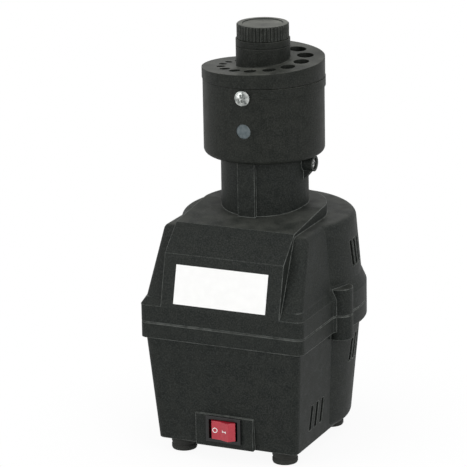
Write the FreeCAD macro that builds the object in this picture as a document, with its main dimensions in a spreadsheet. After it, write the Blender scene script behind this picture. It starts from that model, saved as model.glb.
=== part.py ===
import FreeCAD, Part
import math
import os
import re
import Sketcher

# Driving dimensions in millimetres and degrees. Z = 0 is the table, the spindle axis is X = Y = 0,
# and the switch faces -Y.
SIZES = {
    # housing heights
    "foot_height": 8.5,
    "base_height": 60.5,
    "band_low_height": 9,
    "band_high_height": 10,
    "shell_height": 51.3,
    "wall": 2.5,
    # tapered front box: half width and distance from the spindle axis to the front
    "base_half_low": 42.4,
    "base_front_low": 58,
    "base_half_high": 46.6,
    "base_front_high": 63.5,
    "band_half": 49.1,
    "band_front": 64.4,
    "groove_depth": 0.5,
    "groove_half": 0.35,
    "shell_half_low": 47.6,
    "shell_front_low": 64.3,
    "shell_half_high": 43.5,
    "shell_front_high": 42.6,
    "corner_round": 4,
    # sloping ledge on top of the band, taller round the rear barrel
    "ledge_rise": 4,
    "ring_rise": 7,
    # round rear barrel, a little behind the spindle axis
    "barrel_y": 5,
    "base_barrel_low": 45.4,
    "base_barrel_high": 51.3,
    "band_barrel": 55,
    "shell_barrel_low": 53.4,
    "shell_barrel_high": 49,
    "barrel_round": 4,
    # raised saddle that runs from the band over the front to the neck
    "saddle_half": 35.8,
    "crease_drop": 12.1,
    "crease_front": 57,
    "deck_front": 41.7,
    "deck_rise": 6.4,
    "deck_drop": 4.7,
    "deck_rear": -3,
    # neck, its front rib and the screw lug at its side
    "neck_low": 24.8,
    "neck_high": 24.6,
    "neck_bore": 21.6,
    "neck_height": 29.2,
    "rib_half": 5.2,
    "rib_rise": 1.2,
    "lug_radius": 4.5,
    "lug_drop": 4.7,
    "lug_inset": 3.3,
    "lug_web": 9.5,
    # screw columns on the outside that join cover and base
    "column_radius": 7.5,
    "side_column_y": -10,
    "rear_column_x": 30,
    "rear_column_y": 46.5,
    "column_down": 14,
    "column_up": 15.5,
    "housing_screw_radius": 2,
    "screw_clearance": 0.06,
    "housing_head_radius": 3.9,
    "housing_head_height": 2.6,
    "column_counterbore": 5,
    "housing_screw_bite": 12,
    # slanted air slots
    "slot_width": 3.4,
    "base_slot_lean": 8,
    "cover_slot_lean": -6,
    "side_slot_count": 3,
    "side_slot_pitch": 7.4,
    "side_slot_first": -39,
    "side_slot_rise": 16,
    "side_slot_height": 14.5,
    "rear_slot_count": 4,
    "rear_slot_pitch": 5.2,
    "rear_slot_first": 5,
    "rear_slot_base_drop": 16,
    "rear_slot_cover_drop": 20.5,
    "rear_slot_height": 15.5,
    # rubber feet
    "foot_radius": 7.2,
    "foot_x": 31,
    "foot_front_y": -47.4,
    "foot_rear_y": 19,
    "foot_screw_radius": 1.6,
    "foot_head_radius": 3.2,
    "foot_head_height": 2,
    "foot_recess": 4,
    "foot_post_radius": 5,
    "foot_post_height": 11,
    # rocker switch on its raised pad
    "switch_pad_half": 17.5,
    "switch_pad_front": 60.8,
    "switch_pad_height": 18.6,
    "bezel_width": 21,
    "bezel_height": 15,
    "bezel_rim": 1.8,
    "bezel_proud": 1.6,
    "switch_rise": 10.8,
    "switch_box_width": 19,
    "switch_box_height": 13,
    "switch_depth": 14,
    "switch_floor": 3,
    "case_fit": 0.1,
    "rocker_gap": 0.45,
    "rocker_ridge": 5.4,
    "rocker_proud": 2.4,
    "rocker_valley": 0.8,
    "rocker_shoulder": 0.6,
    "rocker_drop": 6,
    "rocker_pivot_depth": 1.2,
    "rocker_pin_radius": 1,
    "rocker_pin_reach": 0.6,
    "rocker_rest_tilt": 11,
    "terminal_width": 6.3,
    "terminal_thick": 0.8,
    "terminal_length": 9,
    "terminal_pitch": 7,
    # power inlet at the rear
    "inlet_pad_half": 15,
    "inlet_pad_rear": 57,
    "inlet_pad_depth": 12,
    "inlet_pad_height": 23,
    "inlet_width": 20,
    "inlet_height": 11,
    "inlet_depth": 16,
    "inlet_rise": 12,
    "inlet_flange_width": 25,
    "inlet_flange_height": 15,
    "inlet_flange": 2,
    "inlet_well_width": 16,
    "inlet_well_height": 8,
    "inlet_well_depth": 12,
    "inlet_pin_radius": 1.2,
    "inlet_pin_pitch": 8.6,
    "inlet_pin_length": 9,
    # blank rating label on the lower front facet
    "label_width": 55.4,
    "label_height": 22,
    "label_thick": 0.3,
    "label_x": -0.4,
    "label_low": 2.4,
    # motor, hung from the cover
    "motor_drop": 16.6,
    "stack_height": 32,
    "stator_radius": 38,
    "stator_bore": 23,
    "air_gap": 0.4,
    "stator_slots": 12,
    "stator_slot_width": 5,
    "stator_slot_end": 31,
    "winding_in": 24.4,
    "winding_out": 30.6,
    "winding_height": 7.5,
    "bolt_circle": 34.5,
    "bolt_radius": 2,
    "bolt_head_radius": 3.6,
    "bolt_head_height": 2.6,
    "bolt_bite": 11,
    "bracket_radius": 40,
    "bracket_thick": 3.2,
    "bracket_standoff": 10,
    "standoff_radius": 3.6,
    "bracket_window": 6.5,
    "bracket_window_circle": 24,
    "bearing_out": 11,
    "bearing_width": 7,
    "bearing_lip": 2,
    "bearing_hub": 14,
    "pillar_radius": 4.4,
    "rotor_end_ring": 4,
    "rotor_end_radius": 19,
    "shaft_radius": 4,
    "running_gap": 0.05,
    "shaft_tail": 3,
    # cooling fan
    "fan_gap": 3,
    "fan_disc": 2,
    "fan_blade_height": 10,
    "fan_radius": 34,
    "fan_hub": 8,
    "fan_blade": 1.8,
    "fan_blades": 9,
    # grinding head
    "head_turn": 4,
    "drum_radius": 34,
    "drum_wall": 3.2,
    "drum_height": 43,
    "drum_floor": 5,
    "drum_round": 3,
    "spigot_fit": 0.1,
    "spigot_wall": 4.4,
    "spigot_length": 13,
    "bush_radius": 7,
    "bush_flange": 10,
    "bush_flange_thick": 1.5,
    "land_rise": 0.7,
    "land_height": 5,
    "land_start": 9,
    "land_sweep": 118,
    "guide_screw_drop": 5,
    "guide_screw_radius": 2,
    "guide_head_radius": 4.3,
    "guide_head_height": 1.8,
    "guide_screw_tip": 1.6,
    "set_screw_rise": 19,
    "set_screw_radius": 4.2,
    "set_screw_turn": 74,
    "set_screw_sink": 0.8,
    "lug_screw_radius": 2,
    "lug_head_radius": 3.2,
    "lug_head_height": 2.2,
    "lug_head_sink": 0.6,
    # grinding wheel, a cone so that an upright drill is ground to its point angle
    "wheel_gap": 0.7,
    "wheel_flange": 14,
    "wheel_flange_thick": 3.5,
    "wheel_sleeve": 6,
    "wheel_fit": 0.1,
    "wheel_clearance": 1.8,
    "wheel_rim": 6,
    "wheel_crown": 12,
    "point_slope": 31,
    "washer_radius": 9,
    "washer_thick": 1.5,
    "nut_flats": 13,
    "nut_height": 5,
    "shaft_tip": 1.5,
    # guide cap with its spiral ramp and drill holes
    "cap_proud": 0.4,
    "cap_gap": 0.3,
    "cap_turn": 110,
    "cap_least": 3,
    "ramp_pitch": 10,
    "ramp_sweep": 356,
    "ramp_lip": 0.8,
    "skirt_gap": 0.4,
    "skirt_wall": 1.8,
    "skirt_length": 10,
    "window_half_angle": 26,
    "window_half_height": 2.4,
    "post_radius": 15.2,
    "post_height": 21.4,
    "collar_height": 3.4,
    "collar_groove": 0.5,
    "hole_margin": 0.1,
    "hole_count": 12,
    "hole_small": 3.5,
    "hole_large": 10,
    "hole_land": 3.2,
    "hole_first": 42,
    # adjusting knob, its stud, threaded insert and thrust pad
    "knob_radius": 14.6,
    "knob_gap": 0.5,
    "knob_height": 8,
    "knob_flutes": 44,
    "knob_flute_radius": 0.55,
    "knob_dish": 0.5,
    "knob_dish_radius": 11.5,
    "stud_radius": 3,
    "stud_in_knob": 5,
    "insert_radius": 5.5,
    "insert_length": 10,
    "pad_radius": 4,
    "pad_height": 14,
    "pad_fit": 0.08,
    "pad_lift": 0.3,
}

# Heights and reaches that follow from the driving dimensions.
LEVELS = {
    "base_bottom": "foot_height",
    "band_bottom": "base_bottom + base_height",
    "parting_level": "band_bottom + band_low_height",
    "band_top": "parting_level + band_high_height",
    "shell_top": "parting_level + shell_height",
    "shell_foot": "band_top - wall",
    "crease_level": "shell_top - crease_drop",
    "deck_level": "shell_top + deck_rise",
    "deck_front_level": "deck_level - deck_drop",
    "neck_top": "deck_level + neck_height",
    "lug_reach": "drum_radius - lug_inset",
    "lug_level": "neck_top - lug_drop",
    "column_low": "parting_level - column_down",
    "column_seat": "column_low + column_counterbore",
    "side_slot_level": "base_bottom + side_slot_rise",
    "rear_slot_base_level": "band_bottom - rear_slot_base_drop",
    "rear_slot_cover_level": "shell_top - rear_slot_cover_drop",
    "switch_level": "base_bottom + switch_rise",
    "inlet_level": "base_bottom + inlet_rise",
    "upper_bracket_top": "shell_top - motor_drop",
    "upper_bracket": "upper_bracket_top - bracket_thick",
    "stack_top": "upper_bracket - bracket_standoff",
    "stack_low": "stack_top - stack_height",
    "lower_bracket": "stack_low - bracket_standoff - bracket_thick",
    "fan_level": "lower_bracket - bearing_width - bearing_lip - fan_gap - fan_disc - fan_blade_height",
    "shaft_bottom": "fan_level - shaft_tail",
    "pillar_front_top": "shell_top + deck_rise/3",
    "pillar_rear_top": "shell_top - wall/2",
    "drum_bottom": "neck_top",
    "floor_top": "drum_bottom + drum_floor",
    "drum_top": "drum_bottom + drum_height",
    "drum_bore": "drum_radius - drum_wall",
    "wheel_radius": "drum_bore - wheel_clearance",
    "guide_screw_level": "drum_top - guide_screw_drop",
    "set_screw_level": "drum_bottom + set_screw_rise",
    "spigot_out": "neck_bore - spigot_fit",
    "wheel_flange_level": "floor_top + bush_flange_thick + wheel_gap",
    "wheel_face": "wheel_flange_level + wheel_flange_thick",
    "wheel_top": "wheel_face + wheel_rim + (wheel_radius - wheel_crown)*tan(point_slope)",
    "nut_level": "wheel_top + washer_thick",
    "shaft_top": "nut_level + nut_height + shaft_tip",
    "cap_under": "drum_top + cap_gap",
    "cap_radius": "drum_radius + cap_proud",
    "skirt_out": "drum_bore - skirt_gap",
    "hole_circle": "skirt_out - skirt_wall - hole_large/2 - hole_margin",
    "ramp_low": "cap_under + cap_least",
    "cap_blank_top": "ramp_low + ramp_pitch + ramp_lip",
    "post_top": "cap_under + post_height",
    "collar_low": "post_top - collar_height",
    "knob_low": "post_top + knob_gap",
    "knob_top": "knob_low + knob_height",
    "thrust_low": "shaft_top + pad_lift",
    "thrust_top": "thrust_low + pad_height",
    "rocker_half": "bezel_width/2 - bezel_rim - rocker_gap",
    "rocker_face": "bezel_proud + rocker_proud + rocker_pivot_depth",
    "rocker_tall": "bezel_height - 2*bezel_rim - 2*rocker_gap",
    "rocker_pin": "bezel_height - 2*bezel_rim + 2*rocker_pin_reach",
    "lug_seat": "lug_reach - lug_head_height - lug_head_sink",
}

# two lengths that differ by less count as the same when an edge is picked
SAME = 0.01

V = FreeCAD.Vector
X_AXIS = V(1, 0, 0)
Y_AXIS = V(0, 1, 0)
Z_AXIS = V(0, 0, 1)

doc = FreeCAD.newDocument("DrillBitSharpener")
sheet = doc.addObject("Spreadsheet::Sheet", "Sizes")
for row, (alias, number) in enumerate(SIZES.items(), start=1):
    sheet.set("A%d" % row, alias)
    sheet.set("B%d" % row, str(number))
    sheet.setAlias("B%d" % row, alias)
doc.recompute()

NODES = []


def cells(text):
    """Writes out the levels in an expression and names the sheet in front of every alias."""
    def written(match):
        word = match[0]
        if word in LEVELS:
            return "(%s)" % cells(LEVELS[word])
        return "Sizes." + word if word in SIZES else word
    return re.sub(r"[a-z][a-z_]+", written, text)


def value(text):
    """Returns the number that an expression has with the sheet's sizes."""
    result = sheet.evalExpression(cells(text))
    return float(getattr(result, "Value", result))


def bind(item, **sizes):
    """Binds properties of a document object to expressions."""
    for name, text in sizes.items():
        item.setExpression(name, cells(text))


def locate(item, at, rotation=None):
    """Places an object, with its position bound to expressions."""
    item.Placement = FreeCAD.Placement(V(*[value(text) for text in at]), rotation or FreeCAD.Rotation())
    for axis, text in zip("xyz", at):
        item.setExpression("Placement.Base." + axis, cells(text))
    return item


def turned(angle):
    """Returns the rotation about the spindle axis by an angle expression."""
    return FreeCAD.Rotation(Z_AXIS, value(angle))


def cylinder(name, radius, height, at=("0", "0", "0"), along=Z_AXIS):
    """Makes a cylinder that starts at a point and runs along a direction."""
    item = doc.addObject("Part::Cylinder", name)
    bind(item, Radius=radius, Height=height)
    return locate(item, at, FreeCAD.Rotation(Z_AXIS, along))


def cone(name, low, high, height, level, y="0"):
    """Makes an upright cone from its two radii, on the spindle axis or behind it."""
    item = doc.addObject("Part::Cone", name)
    bind(item, Radius1=low, Radius2=high, Height=height)
    return locate(item, ("0", y, level))


def barrel(name, low, high, height, level):
    """Makes a cone for the round rear of the housing, left open at its front quarter."""
    item = cone(name, low, high, height, level, "barrel_y")
    item.Angle = 270
    item.Placement.Rotation = FreeCAD.Rotation(Z_AXIS, -45)
    return item


def box(name, width, depth, height, at, rotation=None):
    """Makes a box from its sizes and its least corner."""
    item = doc.addObject("Part::Box", name)
    bind(item, Length=width, Width=depth, Height=height)
    return locate(item, at, rotation)


def tapered(name, low, high, bottom, top):
    """Makes a box in front of the rear barrel, from (half width, front) at its bottom and top."""
    item = doc.addObject("Part::Wedge", name)
    bind(item, Xmin="-(%s)" % low[0], Xmax=low[0], X2min="-(%s)" % high[0], X2max=high[0])
    bind(item, Zmin="-barrel_y", Zmax=low[1], Z2min="-barrel_y", Z2max=high[1])
    bind(item, Ymin=bottom, Ymax=top)
    item.Placement.Rotation = FreeCAD.Rotation(X_AXIS, 90)
    return item


def fuse(name, items):
    """Joins overlapping objects into one."""
    item = doc.addObject("Part::MultiFuse", name)
    item.Shapes = items
    item.Refine = True
    return item


def cut(name, base, tools):
    """Cuts a list of objects out of another."""
    item = doc.addObject("Part::Cut", name)
    item.Base = base
    item.Tool = fuse(name + "_cutters", tools) if len(tools) > 1 else tools[0]
    item.Refine = True
    return item


def group(name, items):
    """Keeps alike solids together in one object."""
    item = doc.addObject("Part::Compound", name)
    item.Links = items
    return item


def rounded(name, base, radius, wanted):
    """Rounds the edges of an object that a test on the edge picks."""
    doc.recompute()
    size = value(radius)
    item = doc.addObject("Part::Fillet", name)
    item.Base = base
    item.Edges = [(n, size, size) for n, edge in enumerate(base.Shape.Edges, start=1) if wanted(edge)]
    return item


def part_node(label, item):
    """Gives a finished object the label that names its file."""
    item.Label = label
    NODES.append(item)
    return item


def outline(body, name, role, points):
    """Draws a closed outline through (across, up) expressions on one of a body's planes."""
    sketch = body.newObject("Sketcher::SketchObject", name)
    plane = [item for item in body.Origin.OriginFeatures if item.Role == role][0]
    sketch.AttachmentSupport = (plane, [""])
    sketch.MapMode = "FlatFace"
    spots = [(value(across), value(up)) for across, up in points]
    count = len(points)
    for n, spot in enumerate(spots):
        sketch.addGeometry(Part.LineSegment(V(*spot, 0), V(*spots[(n + 1) % count], 0)))
    for n in range(count):
        sketch.addConstraint(Sketcher.Constraint("Coincident", n, 2, (n + 1) % count, 1))
    for n, texts in enumerate(points):
        for kind, text, number in zip(("DistanceX", "DistanceY"), texts, spots[n]):
            rule = sketch.addConstraint(Sketcher.Constraint(kind, -1, 1, n, 1, number))
            sketch.setExpression("Constraints[%d]" % rule, cells(text))
    return sketch


def revolve(body, name, points, kind="PartDesign::Revolution"):
    """Turns an outline of (radius, height) about the spindle axis."""
    sketch = outline(body, name + "_outline", "XZ_Plane", points)
    item = body.newObject(kind, name)
    item.Profile = sketch
    item.ReferenceAxis = (sketch, ["V_Axis"])
    item.Angle = 360
    doc.recompute()
    return item


def turned_body(name, points):
    """Makes a body from one turned outline."""
    body = doc.addObject("PartDesign::Body", name)
    revolve(body, name + "_turned", points)
    return body


def padded_body(name, role, points, length):
    """Makes a body from one outline that is padded to both sides of its plane."""
    body = doc.addObject("PartDesign::Body", name)
    sketch = outline(body, name + "_outline", role, points)
    item = body.newObject("PartDesign::Pad", name + "_pad")
    item.Profile = sketch
    item.Midplane = True
    bind(item, Length=length)
    doc.recompute()
    return body


def direction(turn):
    """Returns the level direction at an angle from the front towards +X."""
    angle = math.radians(turn)
    return V(math.sin(angle), -math.cos(angle), 0)


def radial(name, radius, start, length, turn, level):
    """Makes a level cylinder that points away from the spindle axis."""
    item = doc.addObject("Part::Cylinder", name)
    bind(item, Radius=radius, Height=length)
    at = ("(%s)*sin(%s)" % (start, turn), "-(%s)*cos(%s)" % (start, turn), level)
    return locate(item, at, FreeCAD.Rotation(Z_AXIS, direction(value(turn))))


def around(name, count, width, depth, height, start, level):
    """Makes boxes that point away from the spindle axis, evenly turned about it."""
    made = []
    for n in range(count):
        turn = "%d*360/%d" % (n, count)
        at = ("(%s)*cos(%s) + (%s)/2*sin(%s)" % (start, turn, depth, turn),
              "(%s)*sin(%s) - (%s)/2*cos(%s)" % (start, turn, depth, turn), level)
        made.append(box("%s_%d" % (name, n), width, depth, height, at, turned(turn)))
    return made


# shared places

BAND = ("band_half", "band_front")
COLUMNS = [(side + "*band_half", "side_column_y") for side in ("1", "-1")]
COLUMNS += [(side + "*rear_column_x", "rear_column_y") for side in ("1", "-1")]
FEET = [(side + "*foot_x", y) for side in ("1", "-1") for y in ("foot_front_y", "foot_rear_y")]
SET_SCREW_TURNS = ("head_turn", "head_turn - set_screw_turn")
BOLT_ARM = "*bolt_circle*sqrt(0.5)"
BOLTS = [(x + BOLT_ARM, y + BOLT_ARM) for x in ("1", "-1") for y in ("1", "-1")]


def upright_front(edge):
    """Tells whether an edge is one of the two upright edges at the front of a box."""
    bounds = edge.BoundBox
    return bounds.ZLength > bounds.XLength and bounds.ZLength > bounds.YLength and bounds.YMax < 0


def upper_rim(edge):
    """Tells whether an edge is at the top of the shell's front box and not at its rear."""
    bounds = edge.BoundBox
    return abs(bounds.ZMin - value("shell_top")) < SAME and bounds.YMin < -SAME


def level_arc(edge, level):
    """Tells whether an edge is a round one at a height."""
    bounds = edge.BoundBox
    return isinstance(edge.Curve, Part.Circle) and abs(bounds.ZMin - value(level)) + bounds.ZLength < SAME


def slots(name, row, level, lean, inside):
    """Makes slanted cutters for a row of air slots on both sides."""
    height = row + "_height"
    slant = FreeCAD.Rotation(X_AXIS, -value(lean))
    made = []
    for n in range(int(value(row + "_count"))):
        middle = "%s_first + %d*%s_pitch" % (row, n, row)
        y = "%s - slot_width/2*cos(%s) - %s/2*sin(%s)" % (middle, lean, height, lean)
        z = "%s + slot_width/2*sin(%s) - %s/2*cos(%s)" % (level, lean, height, lean)
        for x in (inside, "-%s - band_half" % inside):
            made.append(box("%s_%d" % (name, len(made)), "band_half", "slot_width", height, (x, y, z), slant))
    return made


def parting_groove(name, level):
    """Makes the cutter for one half of the shallow groove round the band at the parting line."""
    inset = tuple(size + " - groove_depth" for size in BAND)
    reach = "band_front + column_radius"
    blank = box(name + "_blank", "2*(%s)" % reach, "2*(%s)" % reach, "groove_half",
                ("-(%s)" % reach, "-(%s)" % reach, level))
    band = tapered(name + "_band_raw", inset, inset, level, level + " + groove_half")
    kept = [rounded(name + "_band", band, "corner_round", upright_front),
            cylinder(name + "_ring", "band_barrel - groove_depth", "groove_half", ("0", "barrel_y", level))]
    kept += [cylinder("%s_column_%d" % (name, n), "column_radius - groove_depth", "groove_half",
                      (x, y, level)) for n, (x, y) in enumerate(COLUMNS)]
    return cut(name, blank, kept)


# lower housing

def base_housing():
    """The lower shell: tapered box, round rear, lower half of the band, pads and columns."""
    low = ("base_half_low", "base_front_low")
    high = ("base_half_high", "base_front_high")
    thin = [tuple(size + " - wall" for size in pair) for pair in (low, high)]
    front_box = rounded("base_box", tapered("base_box_raw", low, high, "base_bottom", "band_bottom"),
                        "corner_round", upright_front)
    rear = rounded("base_barrel_round",
                   barrel("base_barrel", "base_barrel_low", "base_barrel_high", "base_height", "base_bottom"),
                   "barrel_round", lambda edge: level_arc(edge, "base_bottom"))
    band = rounded("base_band", tapered("base_band_raw", BAND, BAND, "band_bottom", "parting_level"),
                   "corner_round", upright_front)
    band_ring = cylinder("base_band_ring", "band_barrel", "band_low_height", ("0", "barrel_y", "band_bottom"))
    switch_pad = box("switch_pad", "2*switch_pad_half", "switch_pad_front - base_front_low + corner_round",
                     "switch_pad_height", ("-switch_pad_half", "-switch_pad_front", "base_bottom"))
    inlet_pad = box("inlet_pad", "2*inlet_pad_half", "inlet_pad_depth", "inlet_pad_height",
                    ("-inlet_pad_half", "inlet_pad_rear - inlet_pad_depth", "base_bottom"))
    columns = [cylinder("base_column_%d" % n, "column_radius", "column_down", (x, y, "column_low"))
               for n, (x, y) in enumerate(COLUMNS)]
    outer = fuse("base_outer", [front_box, rear, band, band_ring, switch_pad, inlet_pad] + columns)
    floor = "base_bottom + wall"
    room = [
        tapered("base_room", thin[0], thin[1], floor, "parting_level"),
        barrel("base_room_barrel", "base_barrel_low - wall", "base_barrel_high - wall",
               "parting_level - base_bottom - wall", floor),
    ]
    hollow = cut("base_hollow", outer, room)
    posts = [cylinder("foot_post_%d" % n, "foot_post_radius", "foot_post_height", (x, y, "base_bottom"))
             for n, (x, y) in enumerate(FEET)]
    backing = [
        box("switch_backing", "2*switch_pad_half", "wall", "switch_pad_height",
            ("-switch_pad_half", "-switch_pad_front + wall", "base_bottom")),
        box("inlet_backing", "2*inlet_pad_half", "wall*2", "inlet_pad_height",
            ("-inlet_pad_half", "inlet_pad_rear - inlet_pad_depth", "base_bottom")),
    ]
    collars = column_collars("base_collar", "column_down", "column_low")
    whole = fuse("base_whole", [hollow] + posts + backing + collars)
    openings = slots("side_cutter", "side_slot", "side_slot_level", "base_slot_lean", "bolt_circle")
    openings += slots("rear_cutter", "rear_slot", "rear_slot_base_level", "base_slot_lean", "bolt_circle")
    openings.append(box("switch_hole", "switch_box_width + 2*case_fit", "switch_pad_front",
                        "switch_box_height + 2*case_fit",
                        ("-switch_box_width/2 - case_fit", "-switch_pad_front - wall",
                         "switch_level - switch_box_height/2 - case_fit")))
    openings.append(box("inlet_hole", "inlet_width + 2*case_fit", "inlet_pad_depth + wall",
                        "inlet_height + 2*case_fit",
                        ("-inlet_width/2 - case_fit", "inlet_pad_rear - inlet_pad_depth",
                         "inlet_level - inlet_height/2 - case_fit")))
    for n, (x, y) in enumerate(COLUMNS):
        openings.append(cylinder("base_screw_hole_%d" % n, "housing_screw_radius + screw_clearance",
                                 "column_down", (x, y, "column_low")))
        openings.append(cylinder("base_counterbore_%d" % n, "housing_head_radius + case_fit",
                                 "column_counterbore", (x, y, "column_low")))
    for n, (x, y) in enumerate(FEET):
        openings.append(cylinder("foot_screw_hole_%d" % n, "foot_screw_radius + screw_clearance",
                                 "foot_post_height", (x, y, "base_bottom")))
    openings.append(parting_groove("base_groove", "parting_level - groove_half"))
    part_node("base_housing", cut("BaseHousing", whole, openings))


def column_collars(name, height, level):
    """Columns that stay solid inside the shell, clear of the motor."""
    made = []
    for n, (x, y) in enumerate(COLUMNS):
        blank = cylinder("%s_blank_%d" % (name, n), "column_radius", height, (x, y, level))
        room = cylinder("%s_room_%d" % (name, n), "stator_radius + bracket_thick", height, ("0", "0", level))
        made.append(cut("%s_%d" % (name, n), blank, [room]))
    return made


# upper housing

def saddle_points(inset):
    """The side outline of the saddle as (y, z), moved inwards by an inset."""
    return [
        ("-(band_front - %s)" % inset, "parting_level"),
        ("-(band_front - %s)" % inset, "band_top"),
        ("-(crease_front - %s)" % inset, "crease_level - 0.4*(%s)" % inset),
        ("-(deck_front - 0.6*(%s))" % inset, "deck_front_level - %s" % inset),
        ("deck_rear", "deck_level - %s" % inset),
        ("deck_rear", "parting_level"),
    ]


def upper_cover():
    """The upper shell: upper half of the band, tapered body, saddle, neck with rib and lug, columns."""
    low = ("shell_half_low", "shell_front_low")
    high = ("shell_half_high", "shell_front_high")
    thin = [tuple(size + " - wall" for size in pair) for pair in (low, high)]
    shell = rounded("cover_box", tapered("cover_box_raw", low, high, "shell_foot", "shell_top"),
                    "corner_round", lambda edge: upright_front(edge) or upper_rim(edge))
    rear = rounded("cover_barrel_round",
                   barrel("cover_barrel", "shell_barrel_low", "shell_barrel_high", "shell_height",
                          "parting_level"),
                   "barrel_round", lambda edge: level_arc(edge, "shell_top"))
    band = rounded("cover_band", tapered("cover_band_raw", BAND, BAND, "parting_level", "band_top"),
                   "corner_round", upright_front)
    band_ring = cylinder("cover_band_ring", "band_barrel", "band_high_height",
                         ("0", "barrel_y", "parting_level"))
    share = "(band_top + ledge_rise - shell_foot)/(shell_top - shell_foot)"
    ledge_top = tuple("%s + (%s - %s)*%s" % (near, far, near, share) for near, far in zip(low, high))
    ledge_raw = tapered("cover_ledge_raw", BAND, ledge_top, "band_top", "band_top + ledge_rise")
    ledge = rounded("cover_ledge", ledge_raw, "corner_round", upright_front)
    barrel_share = "(band_high_height + ring_rise)/shell_height"
    ledge_ring = cone("cover_ledge_ring", "band_barrel",
                      "shell_barrel_low + (shell_barrel_high - shell_barrel_low)*" + barrel_share,
                      "ring_rise", "band_top", "barrel_y")
    saddle = padded_body("saddle", "YZ_Plane", saddle_points("0"), "2*saddle_half")
    saddle_end = cylinder("saddle_end", "saddle_half", "deck_level - band_top",
                          ("0", "deck_rear", "band_top"))
    saddle_end.Angle = 180
    neck = cone("neck", "neck_low", "neck_high", "neck_top - band_top", "band_top")
    rib = box("neck_rib", "2*rib_half", "neck_low", "neck_top - band_top",
              ("-rib_half", "-neck_low - rib_rise", "band_top"))
    lug = cylinder("lug", "lug_radius", "lug_reach", ("0", "0", "lug_level"), X_AXIS)
    web = padded_body("lug_web", "XZ_Plane", [
        ("0", "lug_level"), ("lug_reach", "lug_level"), ("lug_reach", "lug_level - lug_radius/2"),
        ("neck_low", "lug_level - lug_web"), ("0", "lug_level - lug_web")], "lug_radius")
    columns = [cylinder("cover_column_%d" % n, "column_radius", "column_up", (x, y, "parting_level"))
               for n, (x, y) in enumerate(COLUMNS)]
    outer = fuse("cover_outer", [shell, rear, band, band_ring, ledge, ledge_ring, saddle, saddle_end,
                                 neck, rib, lug, web] + columns)
    room = [
        tapered("cover_band_room", thin[0], thin[0], "parting_level", "shell_foot"),
        tapered("cover_room", thin[0], thin[1], "shell_foot", "shell_top - wall"),
        barrel("cover_room_barrel", "shell_barrel_low - wall", "shell_barrel_high - wall",
               "shell_height - wall", "parting_level"),
        padded_body("saddle_room", "YZ_Plane", saddle_points("wall"), "2*(saddle_half - wall)"),
        cylinder("neck_room", "neck_bore", "neck_top - band_top", ("0", "0", "band_top")),
    ]
    hollow = cut("cover_hollow", outer, room)
    pillars = []
    for n, (x, y) in enumerate(BOLTS):
        top = "pillar_front_top" if y.startswith("-") else "pillar_rear_top"
        pillars.append(cylinder("pillar_%d" % n, "pillar_radius", top + " - upper_bracket_top",
                                (x, y, "upper_bracket_top")))
    sleeve = cylinder("neck_sleeve", "neck_high", "deck_level - crease_level", ("0", "0", "crease_level"))
    neck_wall = cut("neck_wall", sleeve, [cylinder("neck_sleeve_bore", "neck_bore", "deck_level")])
    collars = column_collars("cover_collar", "column_up", "parting_level")
    whole = fuse("cover_whole", [hollow, neck_wall] + pillars + collars)
    openings = slots("cover_cutter", "rear_slot", "rear_slot_cover_level", "cover_slot_lean",
                     "bracket_radius")
    for n, (x, y) in enumerate(COLUMNS):
        openings.append(cylinder("cover_screw_hole_%d" % n, "housing_screw_radius + screw_clearance",
                                 "housing_screw_bite + wall/2", (x, y, "parting_level")))
    for n, (x, y) in enumerate(BOLTS):
        openings.append(cylinder("pillar_hole_%d" % n, "bolt_radius + screw_clearance", "bolt_bite + wall/2",
                                 (x, y, "upper_bracket_top")))
    openings.append(cylinder("lug_hole", "lug_screw_radius + screw_clearance", "lug_reach",
                             ("0", "0", "lug_level"), X_AXIS))
    openings.append(cylinder("lug_counterbore", "lug_head_radius + case_fit", "lug_reach - lug_seat",
                             ("lug_seat", "0", "lug_level"), X_AXIS))
    openings.append(parting_groove("cover_groove", "parting_level"))
    part_node("upper_cover", cut("UpperCover", whole, openings))


# fasteners and feet of the housing

def headed_screw(name, at, way, radius, length, head_radius, head_height):
    """A plain screw whose head's seat is at a point; the shank runs along a direction."""
    shank = cylinder(name + "_shank", radius, length, at, way)
    head = cylinder(name + "_head", head_radius, head_height, at, way * -1)
    return fuse(name, [shank, head])


def housing_screws():
    """Four upright screws that join base and cover through the columns."""
    length = "parting_level + housing_screw_bite - column_seat"
    part_node("housing_screws", group("HousingScrews", [
        headed_screw("housing_screw_%d" % n, (x, y, "column_seat"), Z_AXIS, "housing_screw_radius", length,
                     "housing_head_radius", "housing_head_height") for n, (x, y) in enumerate(COLUMNS)]))


def feet():
    """Four rubber feet and the screws that hold them."""
    made = []
    for n, (x, y) in enumerate(FEET):
        blank = cylinder("foot_blank_%d" % n, "foot_radius", "foot_height", (x, y, "0"))
        made.append(cut("foot_%d" % n, blank, [
            cylinder("foot_recess_%d" % n, "foot_head_radius + case_fit", "foot_recess", (x, y, "0")),
            cylinder("foot_bore_%d" % n, "foot_screw_radius + screw_clearance", "foot_height", (x, y, "0"))]))
    part_node("rubber_feet", group("RubberFeet", made))
    length = "foot_height - foot_recess + foot_post_height - wall/2"
    part_node("foot_screws", group("FootScrews", [
        headed_screw("foot_screw_%d" % n, (x, y, "foot_recess"), Z_AXIS, "foot_screw_radius", length,
                     "foot_head_radius", "foot_head_height") for n, (x, y) in enumerate(FEET)]))


# switch, inlet and label

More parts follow.
